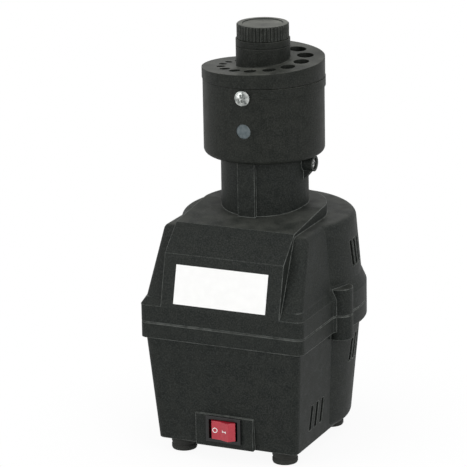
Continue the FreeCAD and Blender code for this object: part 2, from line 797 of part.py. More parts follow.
def rocker_switch():
    """The switch case with its bezel, the rocker on an upright pivot, and the blades behind."""
    front = "-switch_pad_front"
    case = fuse("switch_solid", [
        box("bezel", "bezel_width", "bezel_proud", "bezel_height",
            ("-bezel_width/2", front + " - bezel_proud", "switch_level - bezel_height/2")),
        box("switch_box", "switch_box_width", "switch_depth", "switch_box_height",
            ("-switch_box_width/2", front, "switch_level - switch_box_height/2"))])
    well = box("rocker_well", "bezel_width - 2*bezel_rim", "bezel_proud + switch_depth - switch_floor",
               "bezel_height - 2*bezel_rim",
               ("-bezel_width/2 + bezel_rim", front + " - bezel_proud",
                "switch_level - bezel_height/2 + bezel_rim"))
    pivot = ("0", front + " + rocker_pivot_depth", "switch_level")
    below = pivot[:2] + ("switch_level - rocker_pin/2",)
    holes = cylinder("rocker_pin_holes", "rocker_pin_radius + running_gap", "rocker_pin", below)
    part_node("switch_case", cut("SwitchCase", case, [well, holes]))
    rocker = padded_body("rocker", "XY_Plane", [
        ("-rocker_half", "-rocker_pivot_depth - rocker_shoulder"), ("-rocker_ridge", "-rocker_face"),
        ("0", "rocker_valley - rocker_face"), ("rocker_ridge", "-rocker_face"),
        ("rocker_half", "-rocker_pivot_depth - rocker_shoulder"), ("rocker_ridge", "rocker_drop/3"),
        ("0", "rocker_drop"), ("-rocker_ridge", "rocker_drop/3")], "rocker_tall")
    locate(rocker, pivot, turned("-rocker_rest_tilt"))
    pin = cylinder("rocker_pins", "rocker_pin_radius", "rocker_pin", below)
    part_node("switch_rocker", fuse("SwitchRocker", [rocker, pin]))
    part_node("switch_terminals", group("SwitchTerminals", [
        box("terminal_%d" % n, "terminal_thick", "terminal_length", "terminal_width",
            ("%d*terminal_pitch - terminal_thick/2" % side, front + " + switch_depth",
             "switch_level - terminal_width/2"))
        for n, side in enumerate((-1, 0, 1))]))


def power_inlet():
    """The two-pin inlet at the rear for a loose mains lead."""
    rear = "inlet_pad_rear"
    floor = "inlet_pad_rear + inlet_flange - inlet_well_depth"
    body = fuse("inlet_body", [
        box("inlet_block", "inlet_width", "inlet_depth", "inlet_height",
            ("-inlet_width/2", rear + " - inlet_depth", "inlet_level - inlet_height/2")),
        box("inlet_rim", "inlet_flange_width", "inlet_flange", "inlet_flange_height",
            ("-inlet_flange_width/2", rear, "inlet_level - inlet_flange_height/2"))])
    well = box("inlet_well", "inlet_well_width", "inlet_well_depth", "inlet_well_height",
               ("-inlet_well_width/2", floor, "inlet_level - inlet_well_height/2"))
    part_node("power_inlet", cut("PowerInlet", body, [well]))
    part_node("inlet_pins", group("InletPins", [
        cylinder("inlet_pin_%d" % n, "inlet_pin_radius", "inlet_pin_length",
                 ("%d*inlet_pin_pitch/2" % side, floor, "inlet_level"), Y_AXIS)
        for n, side in enumerate((1, -1))]))


def rating_label():
    """A bare label plate on the lower front facet."""
    lean = "atan((band_front - crease_front)/(crease_level - band_top))"
    at = ("label_x - label_width/2",
          "label_low*sin(%s) - label_thick*cos(%s) - band_front" % (lean, lean),
          "band_top + label_low*cos(%s) + label_thick*sin(%s)" % (lean, lean))
    part_node("rating_label", box("RatingLabel", "label_width", "label_thick", "label_height", at,
                                  FreeCAD.Rotation(X_AXIS, -value(lean))))


# motor

def stator():
    """The slotted lamination stack and its two rings of end windings."""
    bottom = ("0", "0", "stack_low")
    blank = cylinder("stator_blank", "stator_radius", "stack_height", bottom)
    cutters = [cylinder("stator_bore_cut", "stator_bore", "stack_height", bottom)]
    cutters += around("stator_slot", int(value("stator_slots")), "stator_slot_end", "stator_slot_width",
                      "stack_height", "0", "stack_low")
    cutters += [cylinder("stator_bolt_hole_%d" % n, "bolt_radius + screw_clearance", "stack_height",
                         (x, y, "stack_low")) for n, (x, y) in enumerate(BOLTS)]
    part_node("stator_core", cut("StatorCore", blank, cutters))
    rings = []
    for n, level in enumerate(("stack_low - winding_height", "stack_top")):
        rings.append(turned_body("winding_%d" % n, [
            ("winding_in", level), ("winding_out", level), ("winding_out", level + " + winding_height"),
            ("winding_in", level + " + winding_height")]))
    part_node("stator_windings", group("StatorWindings", rings))


def bracket(label, name, level, pocket_up):
    """An end bracket: a windowed disc with a bearing hub on its outer side and standoffs to the stack."""
    disc = cylinder(name + "_disc", "bracket_radius", "bracket_thick", ("0", "0", level))
    hub_low = level + " + bracket_thick" if pocket_up else level + " - bearing_width - bearing_lip"
    hub = cylinder(name + "_hub", "bearing_hub", "bearing_width + bearing_lip", ("0", "0", hub_low))
    stand_low = level + " - bracket_standoff" if pocket_up else level + " + bracket_thick"
    stands = [cylinder("%s_stand_%d" % (name, n), "standoff_radius", "bracket_standoff", (x, y, stand_low))
              for n, (x, y) in enumerate(BOLTS)]
    pocket_low = hub_low + " + bearing_lip" if pocket_up else hub_low
    cutters = [cylinder(name + "_pocket", "bearing_out", "bearing_width", ("0", "0", pocket_low)),
               cylinder(name + "_bore", "shaft_radius + 2*air_gap", "stack_low",
                        ("0", "0", level + " - stack_low/2"))]
    cutters += [cylinder("%s_bolt_hole_%d" % (name, n), "bolt_radius + screw_clearance",
                         "bracket_standoff + bracket_thick + bearing_width",
                         (x, y, stand_low + " - bearing_width/2")) for n, (x, y) in enumerate(BOLTS)]
    for n, (x, y) in enumerate(((1, 0), (0, 1), (-1, 0), (0, -1))):
        spot = ("%d*bracket_window_circle" % x, "%d*bracket_window_circle" % y, level)
        cutters.append(cylinder("%s_window_%d" % (name, n), "bracket_window", "bracket_thick", spot))
    part_node(label, cut(name, fuse(name + "_solid", [disc, hub] + stands), cutters))
    part_node(label.replace("bracket", "bearing"), turned_body(name + "Bearing", [
        ("shaft_radius + running_gap", pocket_low), ("bearing_out", pocket_low),
        ("bearing_out", pocket_low + " + bearing_width"),
        ("shaft_radius + running_gap", pocket_low + " + bearing_width")]))


def motor_bolts():
    """Four long screws from below the lower bracket, through the stack, into the cover's pillars."""
    length = "upper_bracket_top + bolt_bite - lower_bracket"
    part_node("motor_bolts", group("MotorBolts", [
        headed_screw("motor_bolt_%d" % n, (x, y, "lower_bracket"), Z_AXIS, "bolt_radius", length,
                     "bolt_head_radius", "bolt_head_height") for n, (x, y) in enumerate(BOLTS)]))


def spindle():
    """The rotor on its shaft and the cooling fan below it."""
    part_node("rotor_core", turned_body("RotorCore", [
        ("shaft_radius", "stack_low - rotor_end_ring"), ("rotor_end_radius", "stack_low - rotor_end_ring"),
        ("rotor_end_radius", "stack_low"), ("stator_bore - air_gap", "stack_low"),
        ("stator_bore - air_gap", "stack_top"), ("rotor_end_radius", "stack_top"),
        ("rotor_end_radius", "stack_top + rotor_end_ring"), ("shaft_radius", "stack_top + rotor_end_ring")]))
    part_node("spindle_shaft", turned_body("SpindleShaft", [
        ("0", "shaft_bottom"), ("shaft_radius", "shaft_bottom"), ("shaft_radius", "shaft_top"),
        ("0", "shaft_top")]))
    bottom = ("0", "0", "fan_level")
    solid = fuse("fan_solid", [
        cylinder("fan_hub_blank", "fan_hub", "fan_disc + fan_blade_height", bottom),
        cylinder("fan_plate", "fan_radius", "fan_disc", bottom),
    ] + around("fan_blade", int(value("fan_blades")), "fan_radius - fan_hub + fan_blade/2", "fan_blade",
               "fan_disc + fan_blade_height", "fan_hub - fan_blade/2", "fan_level"))
    part_node("cooling_fan", cut("CoolingFan", solid, [
        cylinder("fan_bore", "shaft_radius", "fan_disc + fan_blade_height", bottom)]))


# grinding head

def head_drum():
    """The cup over the neck: floor, wall, spigot, raised land, bush seat and screw holes."""
    body = turned_body("DrumTurned", [
        ("bush_radius", "drum_bottom"), ("spigot_out - spigot_wall", "drum_bottom"),
        ("spigot_out - spigot_wall", "drum_bottom - spigot_length"),
        ("spigot_out", "drum_bottom - spigot_length"), ("spigot_out", "drum_bottom"),
        ("drum_radius", "drum_bottom"), ("drum_radius", "drum_top"), ("drum_bore", "drum_top"),
        ("drum_bore", "floor_top"), ("bush_radius", "floor_top")])
    shell = rounded("drum_rounded", body, "drum_round",
                    lambda edge: abs(edge.BoundBox.XMax - value("drum_radius")) < SAME
                    and abs(edge.BoundBox.ZMax - value("drum_bottom")) < SAME)
    bottom = ("0", "0", "drum_top - land_height")
    land = cylinder("land_blank", "drum_radius + land_rise", "land_height", bottom)
    bind(land, Angle="land_sweep")
    land.Placement.Rotation = turned("head_turn + land_start - 90")
    strip = cut("land", land, [cylinder("land_inner", "drum_bore", "land_height", bottom)])
    start = "drum_bore - land_rise"
    reach = "drum_radius - drum_bore + 4*land_rise"
    openings = [
        radial("guide_screw_hole", "guide_screw_radius + screw_clearance", start, reach, "head_turn",
               "guide_screw_level"),
        cylinder("lug_pilot", "lug_screw_radius + screw_clearance", "lug_reach", ("0", "0", "lug_level"),
                 X_AXIS)]
    openings += [radial("set_screw_hole_%d" % n, "set_screw_radius", start, reach, turn, "set_screw_level")
                 for n, turn in enumerate(SET_SCREW_TURNS)]
    part_node("head_drum", cut("HeadDrum", fuse("drum_solid", [shell, strip]), openings))


def head_fasteners():
    """The bright guide screw, the two flush set screws, the lug screw and the spindle's bush."""
    part_node("guide_screw", fuse("GuideScrew", [
        radial("guide_head", "guide_head_radius", "drum_radius", "guide_head_height", "head_turn",
               "guide_screw_level"),
        radial("guide_shank", "guide_screw_radius", "skirt_out - guide_screw_tip",
               "drum_radius - skirt_out + guide_screw_tip", "head_turn", "guide_screw_level")]))
    part_node("set_screws", group("SetScrews", [
        radial("set_screw_%d" % n, "set_screw_radius", "drum_bore",
               "drum_radius - drum_bore - set_screw_sink", turn, "set_screw_level")
        for n, turn in enumerate(SET_SCREW_TURNS)]))
    part_node("lug_screw", headed_screw("LugScrew", ("lug_seat", "0", "lug_level"), X_AXIS * -1,
                                        "lug_screw_radius", "lug_seat - spigot_out + spigot_wall",
                                        "lug_head_radius", "lug_head_height"))
    bore = "shaft_radius + running_gap"
    part_node("spindle_bush", turned_body("SpindleBush", [
        (bore, "drum_bottom"), ("bush_radius", "drum_bottom"), ("bush_radius", "floor_top"),
        ("bush_flange", "floor_top"), ("bush_flange", "floor_top + bush_flange_thick"),
        (bore, "floor_top + bush_flange_thick")]))


def grinding_wheel():
    """The hub, the conical stone, its washer and its nut."""
    part_node("wheel_hub", turned_body("WheelHub", [
        ("shaft_radius", "wheel_flange_level"), ("wheel_flange", "wheel_flange_level"),
        ("wheel_flange", "wheel_face"), ("wheel_sleeve", "wheel_face"),
        ("wheel_sleeve", "wheel_top - wheel_fit"), ("shaft_radius", "wheel_top - wheel_fit")]))
    part_node("grinding_wheel", turned_body("GrindingWheel", [
        ("wheel_sleeve + wheel_fit", "wheel_face"), ("wheel_radius", "wheel_face"),
        ("wheel_radius", "wheel_face + wheel_rim"), ("wheel_crown", "wheel_top"),
        ("wheel_sleeve + wheel_fit", "wheel_top")]))
    part_node("wheel_washer", turned_body("WheelWasher", [
        ("shaft_radius + running_gap", "wheel_top"), ("washer_radius", "wheel_top"),
        ("washer_radius", "nut_level"), ("shaft_radius + running_gap", "nut_level")]))
    hexagon = doc.addObject("Part::Prism", "nut_blank")
    hexagon.Polygon = 6
    bind(hexagon, Circumradius="nut_flats/sqrt(3)", Height="nut_height")
    locate(hexagon, ("0", "0", "nut_level"))
    part_node("wheel_nut", cut("WheelNut", hexagon, [
        cylinder("nut_bore", "shaft_radius", "nut_height", ("0", "0", "nut_level"))]))


def guide_cap():
    """The cap: post and skirt, spiral ramp, drill holes that grow along it, window in the skirt."""
    body = turned_body("CapTurned", [
        ("pad_radius + pad_fit", "cap_under"), ("skirt_out - skirt_wall", "cap_under"),
        ("skirt_out - skirt_wall", "cap_under - skirt_length"), ("skirt_out", "cap_under - skirt_length"),
        ("skirt_out", "cap_under"), ("cap_radius", "cap_under"), ("cap_radius", "cap_blank_top"),
        ("post_radius", "cap_blank_top"), ("post_radius", "collar_low - collar_groove"),
        ("post_radius - collar_groove", "collar_low - collar_groove"),
        ("post_radius - collar_groove", "collar_low"), ("post_radius", "collar_low"),
        ("post_radius", "post_top"), ("insert_radius", "post_top"),
        ("insert_radius", "post_top - insert_length"), ("pad_radius + pad_fit", "post_top - insert_length")])
    sketch = outline(body, "ramp_outline", "XZ_Plane", [
        ("post_radius", "ramp_low"), ("cap_radius + ramp_lip", "ramp_low"),
        ("cap_radius + ramp_lip", "post_top"), ("post_radius", "post_top")])
    ramp = body.newObject("PartDesign::SubtractiveHelix", "ramp")
    ramp.Profile = sketch
    ramp.ReferenceAxis = (sketch, ["V_Axis"])
    ramp.Mode = 0
    bind(ramp, Pitch="ramp_pitch", Height="ramp_pitch*ramp_sweep/360")
    doc.recompute()
    tools = []
    turn = "hole_first"
    count = int(value("hole_count"))
    for n in range(count):
        size = "(hole_small + %d*(hole_large - hole_small)/(hole_count - 1))" % n
        at = ("hole_circle*cos(%s)" % turn, "hole_circle*sin(%s)" % turn, "cap_under - skirt_length")
        tools.append(cylinder("drill_hole_%d" % n, size + "/2", "post_height + skirt_length", at))
        chord = "hole_small + %d/2*(hole_large - hole_small)/(hole_count - 1) + hole_land" % (2 * n + 1)
        turn = "%s + (%s)/hole_circle*180/pi" % (turn, chord)
    bottom = ("0", "0", "guide_screw_level - window_half_height")
    window = cylinder("skirt_window", "skirt_out + cap_gap", "2*window_half_height", bottom)
    bind(window, Angle="2*window_half_angle")
    window.Placement.Rotation = turned("head_turn - window_half_angle - cap_turn - 90")
    tools.append(window)
    cap = cut("GuideCap", body, tools)
    cap.Placement.Rotation = turned("cap_turn")
    part_node("guide_cap", cap)


def adjusting_knob():
    """The fluted knob on its stud, the threaded insert in the post and the pad over the shaft's end."""
    blank = turned_body("knob_blank", [
        ("0", "knob_low"), ("knob_radius", "knob_low"), ("knob_radius", "knob_top - knob_dish"),
        ("knob_radius - knob_dish", "knob_top"), ("knob_dish_radius", "knob_top"),
        ("knob_dish_radius - knob_dish", "knob_top - knob_dish"), ("0", "knob_top - knob_dish")])
    flutes = []
    count = int(value("knob_flutes"))
    for n in range(count):
        turn = "%d*360/%d" % (n, count)
        at = ("knob_radius*cos(%s)" % turn, "knob_radius*sin(%s)" % turn, "knob_low")
        flutes.append(cylinder("flute_%d" % n, "knob_flute_radius", "knob_height", at))
    flutes.append(cylinder("knob_stud_hole", "stud_radius", "stud_in_knob", ("0", "0", "knob_low")))
    part_node("adjusting_knob", cut("AdjustingKnob", blank, flutes))
    part_node("adjusting_stud", cylinder("AdjustingStud", "stud_radius",
                                         "knob_low + stud_in_knob - thrust_top", ("0", "0", "thrust_top")))
    part_node("threaded_insert", turned_body("ThreadedInsert", [
        ("stud_radius + screw_clearance", "post_top - insert_length"),
        ("insert_radius", "post_top - insert_length"), ("insert_radius", "post_top"),
        ("stud_radius + screw_clearance", "post_top")]))
    part_node("thrust_pad", cylinder("ThrustPad", "pad_radius", "pad_height", ("0", "0", "thrust_low")))


def build():
    """Builds every sub-part in the document."""
    base_housing()
    upper_cover()
    housing_screws()
    feet()
    rocker_switch()
    power_inlet()
    rating_label()
    stator()
    bracket("lower_bracket", "LowerBracket", "lower_bracket", False)
    bracket("upper_bracket", "UpperBracket", "upper_bracket", True)
    motor_bolts()
    spindle()
    head_drum()
    head_fasteners()
    grinding_wheel()
    guide_cap()
    adjusting_knob()
    doc.recompute()


def check_and_write():
    """Stops on any failed object, then writes one STEP file for each sub-part."""
    failed = [item.Name for item in doc.Objects if {"Invalid", "Error"} & set(item.State)]
    for item in NODES:
        if item.Shape.isNull() or not item.Shape.isValid() or not item.Shape.Solids:
            failed.append(item.Label)
    if failed:
        raise RuntimeError("failed objects: " + ", ".join(failed))
    os.makedirs("parts", exist_ok=True)
    for item in NODES:
        item.Shape.exportStep(os.path.join("parts", item.Label + ".step"))
        print(item.Label, len(item.Shape.Solids), round(item.Shape.Volume))


build()
check_and_write()
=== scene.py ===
"""Looks of a drill bit sharpener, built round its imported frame.

Sizes are in millimetres until a mesh is made.
"""

import logging
import math
from collections.abc import Sequence
from dataclasses import dataclass, replace
from enum import Enum

import bmesh
import bpy
from mathutils import Matrix, Vector


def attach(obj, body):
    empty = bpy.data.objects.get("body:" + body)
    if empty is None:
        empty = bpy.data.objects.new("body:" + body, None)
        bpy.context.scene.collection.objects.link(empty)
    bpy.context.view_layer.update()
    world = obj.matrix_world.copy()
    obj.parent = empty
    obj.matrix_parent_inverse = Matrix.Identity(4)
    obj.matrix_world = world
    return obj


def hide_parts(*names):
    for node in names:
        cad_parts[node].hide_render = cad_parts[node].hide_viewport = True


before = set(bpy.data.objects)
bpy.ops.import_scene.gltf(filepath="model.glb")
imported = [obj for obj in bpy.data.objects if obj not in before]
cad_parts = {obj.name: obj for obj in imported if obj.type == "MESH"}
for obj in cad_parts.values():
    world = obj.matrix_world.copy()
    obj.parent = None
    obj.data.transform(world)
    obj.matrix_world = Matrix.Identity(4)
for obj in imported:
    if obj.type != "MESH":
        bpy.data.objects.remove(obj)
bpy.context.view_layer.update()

MM = 0.001
SMOOTH_ANGLE = math.radians(35)

Colour = tuple[float, float, float]
Point = tuple[float, float, float]

log = logging.getLogger("drill_bit_sharpener")


# node trees


class Graph:
    """A node tree with short calls that fill it."""

    def __init__(self, tree: bpy.types.NodeTree) -> None:
        """Takes the tree that the calls fill."""
        self.tree = tree

    def add(self, kind: str, values: dict | None = None, **settings: object) -> bpy.types.Node:
        """Adds a node.

        Args:
            kind: the node's type name.
            values: an input's name or place, and the number or the output socket that it takes.
            settings: properties of the node itself.

        Returns:
            The new node.
        """
        node = self.tree.nodes.new(kind)
        for name, setting in settings.items():
            setattr(node, name, setting)
        for place, given in (values or {}).items():
            target = node.inputs[place]
            if isinstance(given, bpy.types.NodeSocket):
                self.tree.links.new(given, target)
            else:
                target.default_value = given
        return node

    def math(self, operation: str, first: object, second: object = 0.0) -> bpy.types.NodeSocket:
        """Adds a Math node and returns its output."""
        return self.add("ShaderNodeMath", {0: first, 1: second}, operation=operation).outputs[0]

    def spread(self, given: object, source: Sequence[float], target: Sequence[float]) -> bpy.types.NodeSocket:
        """Adds a clamped Map Range node from one span to another and returns its output."""
        values = {0: given, 1: source[0], 2: source[1], 3: target[0], 4: target[1]}
        return self.add("ShaderNodeMapRange", values).outputs[0]

    def blend(self, share: object, first: object, second: object) -> bpy.types.NodeSocket:
        """Adds a colour Mix node and returns its output."""
        return self.add("ShaderNodeMix", {0: share, 6: first, 7: second}, data_type="RGBA").outputs[2]


class NamedTree(Graph):
    """A node group with named inputs and outputs."""

    def __init__(self, name: str, kind: str, inputs: dict[str, object], outputs: dict[str, str]) -> None:
        """Makes the group and its sockets.

        Args:
            name: the group's name.
            kind: the type of node tree.
            inputs: each input's name, with a default number or vector, or a socket type.
            outputs: each output's name and socket type.
        """
        super().__init__(bpy.data.node_groups.new(name, kind))
        self.keys: dict[str, str] = {}
        for label, given in inputs.items():
            self.keys[label] = self._input(label, given).identifier
        for label, socket in outputs.items():
            self.tree.interface.new_socket(label, in_out="OUTPUT", socket_type=socket)
        self.given = self.add("NodeGroupInput").outputs
        self.result = self.add("NodeGroupOutput").inputs

    def _input(self, label: str, given: object) -> bpy.types.NodeTreeInterfaceSocket:
        """Makes one input socket, of the type that its default has."""
        if isinstance(given, str):
            return self.tree.interface.new_socket(label, in_out="INPUT", socket_type=given)
        kinds = {float: "NodeSocketFloat", int: "NodeSocketInt", tuple: "NodeSocketVector"}
        socket = self.tree.interface.new_socket(label, in_out="INPUT", socket_type=kinds[type(given)])
        socket.default_value = given
        return socket

    def put(self, **sockets: bpy.types.NodeSocket) -> None:
        """Joins sockets to the group's outputs."""
        for label, socket in sockets.items():
            self.tree.links.new(socket, self.result[label])


class EffectTree(NamedTree):
    """A shader effect that several finishes share."""

    def __init__(self, name: str, inputs: dict[str, object], outputs: dict[str, str]) -> None:
        """Makes the effect's group."""
        super().__init__(name, "ShaderNodeTree", inputs, outputs)

    def place(self) -> bpy.types.NodeSocket:
        """Returns the surface's own place in Object coordinates."""
        return self.add("ShaderNodeTexCoord").outputs["Object"]

    def noise(self, scale: object, detail: float) -> bpy.types.NodeSocket:
        """Adds noise on Object coordinates and returns its value."""
        node = self.add("ShaderNodeTexNoise", {"Vector": self.place(), "Scale": scale, "Detail": detail})
        return node.outputs[0]


class ShapeTree(NamedTree):
    """A Geometry Nodes tree that grows a piece from the points of a small mesh."""

    def __init__(self, name: str, sizes: dict[str, object]) -> None:
        """Makes the tree with its named sizes, its points and its material."""
        inputs = {"Points": "NodeSocketGeometry", "Material": "NodeSocketMaterial", **sizes}
        super().__init__(name, "GeometryNodeTree", inputs, {"Geometry": "NodeSocketGeometry"})

    def vector(self, x: object = 0.0, y: object = 0.0, z: object = 0.0) -> bpy.types.NodeSocket:
        """Adds a Combine XYZ node and returns its vector."""
        return self.add("ShaderNodeCombineXYZ", {0: x, 1: y, 2: z}).outputs[0]

    def moved(self, shape: bpy.types.NodeSocket, by: object,
              turn: object = (0, 0, 0)) -> bpy.types.NodeSocket:
        """Moves and turns a shape."""
        node = self.add("GeometryNodeTransform", {"Geometry": shape, "Translation": by, "Rotation": turn})
        return node.outputs[0]

    def finish(self, instances: bpy.types.NodeSocket) -> None:
        """Makes instances real, gives them the material and puts them out."""
        real = self.add("GeometryNodeRealizeInstances", {0: instances}).outputs[0]
        dressed = self.add("GeometryNodeSetMaterial", {"Geometry": real, "Material": self.given["Material"]})
        self.put(Geometry=dressed.outputs[0])

    def grow(self, name: str, points: Sequence[Point], sizes: dict[str, object],
             material: bpy.types.Material) -> bpy.types.Object:
        """Runs the tree once and keeps its result as a plain mesh.

        Args:
            name: the piece's name.
            points: where the shape stands, in millimetres.
            sizes: values for the tree's named inputs.
            material: the piece's material.

        Returns:
            The piece's object, with no modifier left.
        """
        seed = bpy.data.meshes.new(name)
        seed.from_pydata([Vector(point) * MM for point in points], [], [])
        item = bpy.data.objects.new(name, seed)
        bpy.context.scene.collection.objects.link(item)
        modifier = item.modifiers.new("Shape", "NODES")
        modifier.node_group = self.tree
        for label, given in {"Material": material, **sizes}.items():
            modifier[self.keys[label]] = given
        graph = bpy.context.evaluated_depsgraph_get()
        mesh = bpy.data.meshes.new_from_object(item.evaluated_get(graph), depsgraph=graph)
        item.modifiers.remove(modifier)
        item.data = mesh
        bpy.data.meshes.remove(seed)
        soften(mesh)
        return item


# finishes


NOISE_SPAN = (0.35, 0.65)  # where most of a noise's values lie
MOTTLE_SCALE = 0.12  # of the grain's own scale
# edges take a lighter colour: real rubbing plus a painted highlight where an edge catches the light
BEND_SPAN = (0.003, 0.09)  # bend of the surface at an edge, from plain to rubbed with a painted highlight
WEAR_AND_HIGHLIGHT_SPAN = (0.3, 0.62)  # of the noise that breaks up the rubbed edges and their painted highlight
LEAST_WEAR_AND_HIGHLIGHT = 0.25
# upward faces take a lighter colour: a real dusty film plus painted top light
DUST_AND_TOP_LIGHT_SLOPES = (0.8, 1.0)  # upward part of the normal, from clean to dusty with painted top light
DUST_AND_TOP_LIGHT_SPAN = (0.35, 0.7)  # of the noise that breaks up the dusty film and its painted top light
LEAST_DUST_AND_TOP_LIGHT = 0.2
DUST_AND_TOP_LIGHT_COLOUR = (0.165, 0.17, 0.15, 1.0)
SPECKLE_SPAN = (0.45, 0.75)  # height of the grain, from plain to speckled
ROUGH_SPAN = (0.1, 0.9)  # height of the grain times its mottle, from smooth to rough
LEAST_MOTTLE = 0.5
GLOSS_CHANGE = 0.3  # share of the gloss that the grain takes off or adds


class Pattern(Enum):
    """The small-scale pattern that a finish has."""

    GRAIN = "moulded_grain"
    LAYERS = "sheet_layers"
    RINGS = "turning_marks"
    GRIT = "stone_grit"


class Effects:
    """The shader effects, each built once."""

    def __init__(self) -> None:
        """Builds every effect."""
        self.patterns = {pattern: self._pattern(pattern).tree for pattern in Pattern}
        self.edges = self._edges().tree
        self.dust_and_top_light = self._dust_and_top_light().tree

    def _pattern(self, pattern: Pattern) -> EffectTree:
        """Builds a pattern that puts out a height and a slow mottle from 0 to 1."""
        outputs = {"Height": "NodeSocketFloat", "Mottle": "NodeSocketFloat"}
        group = EffectTree(pattern.value, {"Scale": 1000.0}, outputs)
        scale = group.given["Scale"]
        if pattern is Pattern.GRAIN:
            height = group.noise(scale, 2.0)
        elif pattern is Pattern.GRIT:
            cells = group.add("ShaderNodeTexVoronoi", {"Vector": group.place(), "Scale": scale})
            height = group.math("MULTIPLY", cells.outputs["Distance"], group.noise(scale, 3.0))
        else:
            lines = {Pattern.LAYERS: {"wave_type": "BANDS", "bands_direction": "Z"},
                     Pattern.RINGS: {"wave_type": "RINGS", "rings_direction": "Z"}}[pattern]
            values = {"Vector": group.place(), "Scale": scale, "Distortion": 0.6, "Detail": 2.0}
            height = group.add("ShaderNodeTexWave", values, **lines).outputs["Fac"]
        slow = group.noise(group.math("MULTIPLY", scale, MOTTLE_SCALE), 4.0)
        group.put(Height=height, Mottle=group.spread(slow, NOISE_SPAN, (0.0, 1.0)))
        return group

    def _edges(self) -> EffectTree:
        """Builds rubbed edges with a painted highlight along them: a broken mask, and a normal that rounds
        the edge.
        """
        outputs = {"Mask": "NodeSocketFloat", "Normal": "NodeSocketVector"}
        group = EffectTree("edge_wear_and_highlight", {"Radius": 0.0005, "Breakup": 300.0}, outputs)
        soft = group.add("ShaderNodeBevel", {"Radius": group.given["Radius"]}, samples=8).outputs[0]
        plain = group.add("ShaderNodeNewGeometry").outputs["Normal"]
        values = {0: soft, 1: plain}
        match = group.add("ShaderNodeVectorMath", values, operation="DOT_PRODUCT").outputs["Value"]
        bent = group.spread(group.math("SUBTRACT", 1.0, match), BEND_SPAN, (0.0, 1.0))
        broken = group.spread(group.noise(group.given["Breakup"], 3.0), WEAR_AND_HIGHLIGHT_SPAN, (LEAST_WEAR_AND_HIGHLIGHT, 1.0))
        group.put(Mask=group.math("MULTIPLY", bent, broken), Normal=soft)
        return group

    def _dust_and_top_light(self) -> EffectTree:
        """Builds a thin dusty film on what faces up, which also paints the light from above."""
        group = EffectTree("settled_dust_and_top_light", {"Scale": 90.0}, {"Mask": "NodeSocketFloat"})
        normal = group.add("ShaderNodeNewGeometry").outputs["Normal"]
        rise = group.add("ShaderNodeSeparateXYZ", {0: normal}).outputs[2]
        up = group.spread(rise, DUST_AND_TOP_LIGHT_SLOPES, (0.0, 1.0))
        patches = group.spread(group.noise(group.given["Scale"], 5.0), DUST_AND_TOP_LIGHT_SPAN, (LEAST_DUST_AND_TOP_LIGHT, 1.0))
        group.put(Mask=group.math("MULTIPLY", up, patches))
        return group


@dataclass(frozen=True)
class Finish:
    """One surface finish of the object.

    Its slot is the record's. Colours are linear; grain is in parts per metre, depth and edge in millimetres.
    """

    slot: str
    colour: Colour
    mottled: Colour
    # lighter colour for flecks and rubbed edges; on edges it also paints a highlight
    worn_and_highlight: Colour
    roughness: float
    spread: float = 0.08
    metallic: float = 0.0
    specular: float = 0.5
    coat: float = 0.0
    pattern: Pattern = Pattern.GRAIN
    grain: float = 1400.0
    depth: float = 0.03
    edge: float = 0.5
    # strength of the lighter edges: rubbing plus a painted highlight
    wear_and_highlight: float = 0.5
    # strength of the lighter film on upward faces: a dusty film plus painted top light
    dust_and_top_light: float = 0.0
    speckle: float = 0.0

    def material(self, effects: Effects) -> bpy.types.Material:
        """Builds the finish's material.

        Args:
            effects: the shared shader effects.

        Returns:
            The material, named for the slot.
        """
        made = bpy.data.materials.new(self.slot)
        made.use_nodes = True
        made.node_tree.nodes.clear()
        graph = Graph(made.node_tree)
        pattern = graph.add("ShaderNodeGroup", node_tree=effects.patterns[self.pattern])
        pattern.inputs["Scale"].default_value = self.grain
        edges = graph.add("ShaderNodeGroup", node_tree=effects.edges)
        edges.inputs["Radius"].default_value = self.edge * MM
        height, mottle = pattern.outputs["Height"], pattern.outputs["Mottle"]
        worn_and_highlight = (*self.worn_and_highlight, 1.0)
        colour = graph.blend(mottle, (*self.colour, 1.0), (*self.mottled, 1.0))
        if self.speckle:
            colour = graph.blend(graph.spread(height, SPECKLE_SPAN, (0.0, self.speckle)), colour, worn_and_highlight)
        # rubbed edges plus a painted edge highlight
        colour = graph.blend(graph.math("MULTIPLY", edges.outputs["Mask"], self.wear_and_highlight), colour, worn_and_highlight)
        # upward faces take a dusty film that also paints the top light
        if self.dust_and_top_light:
            dust_and_top_light = graph.add("ShaderNodeGroup", node_tree=effects.dust_and_top_light)
            colour = graph.blend(graph.math("MULTIPLY", dust_and_top_light.outputs["Mask"], self.dust_and_top_light), colour, DUST_AND_TOP_LIGHT_COLOUR)
        span = (self.roughness - self.spread, self.roughness + self.spread)
        uneven = graph.math("MULTIPLY", height, graph.math("ADD", mottle, LEAST_MOTTLE))
        rough = graph.spread(uneven, ROUGH_SPAN, span)
        bump = graph.add("ShaderNodeBump", {"Height": height, "Distance": self.depth * MM,
                                            "Normal": edges.outputs["Normal"]})
        shader = graph.add("ShaderNodeBsdfPrincipled", {
            "Base Color": colour, "Roughness": rough, "Normal": bump.outputs[0], "Metallic": self.metallic,
            "Specular IOR Level": self._gloss(graph, height), "Coat Weight": self.coat})
        graph.add("ShaderNodeOutputMaterial", {"Surface": shader.outputs[0]})
        return made

    def _gloss(self, graph: Graph, height: bpy.types.NodeSocket) -> object:
        """Returns the specular level, which a speckled finish breaks up with its grain."""
        if not self.speckle:
            return self.specular
        levels = [(1 + change) * self.specular for change in (-GLOSS_CHANGE, GLOSS_CHANGE)]
        return graph.spread(height, NOISE_SPAN, levels)


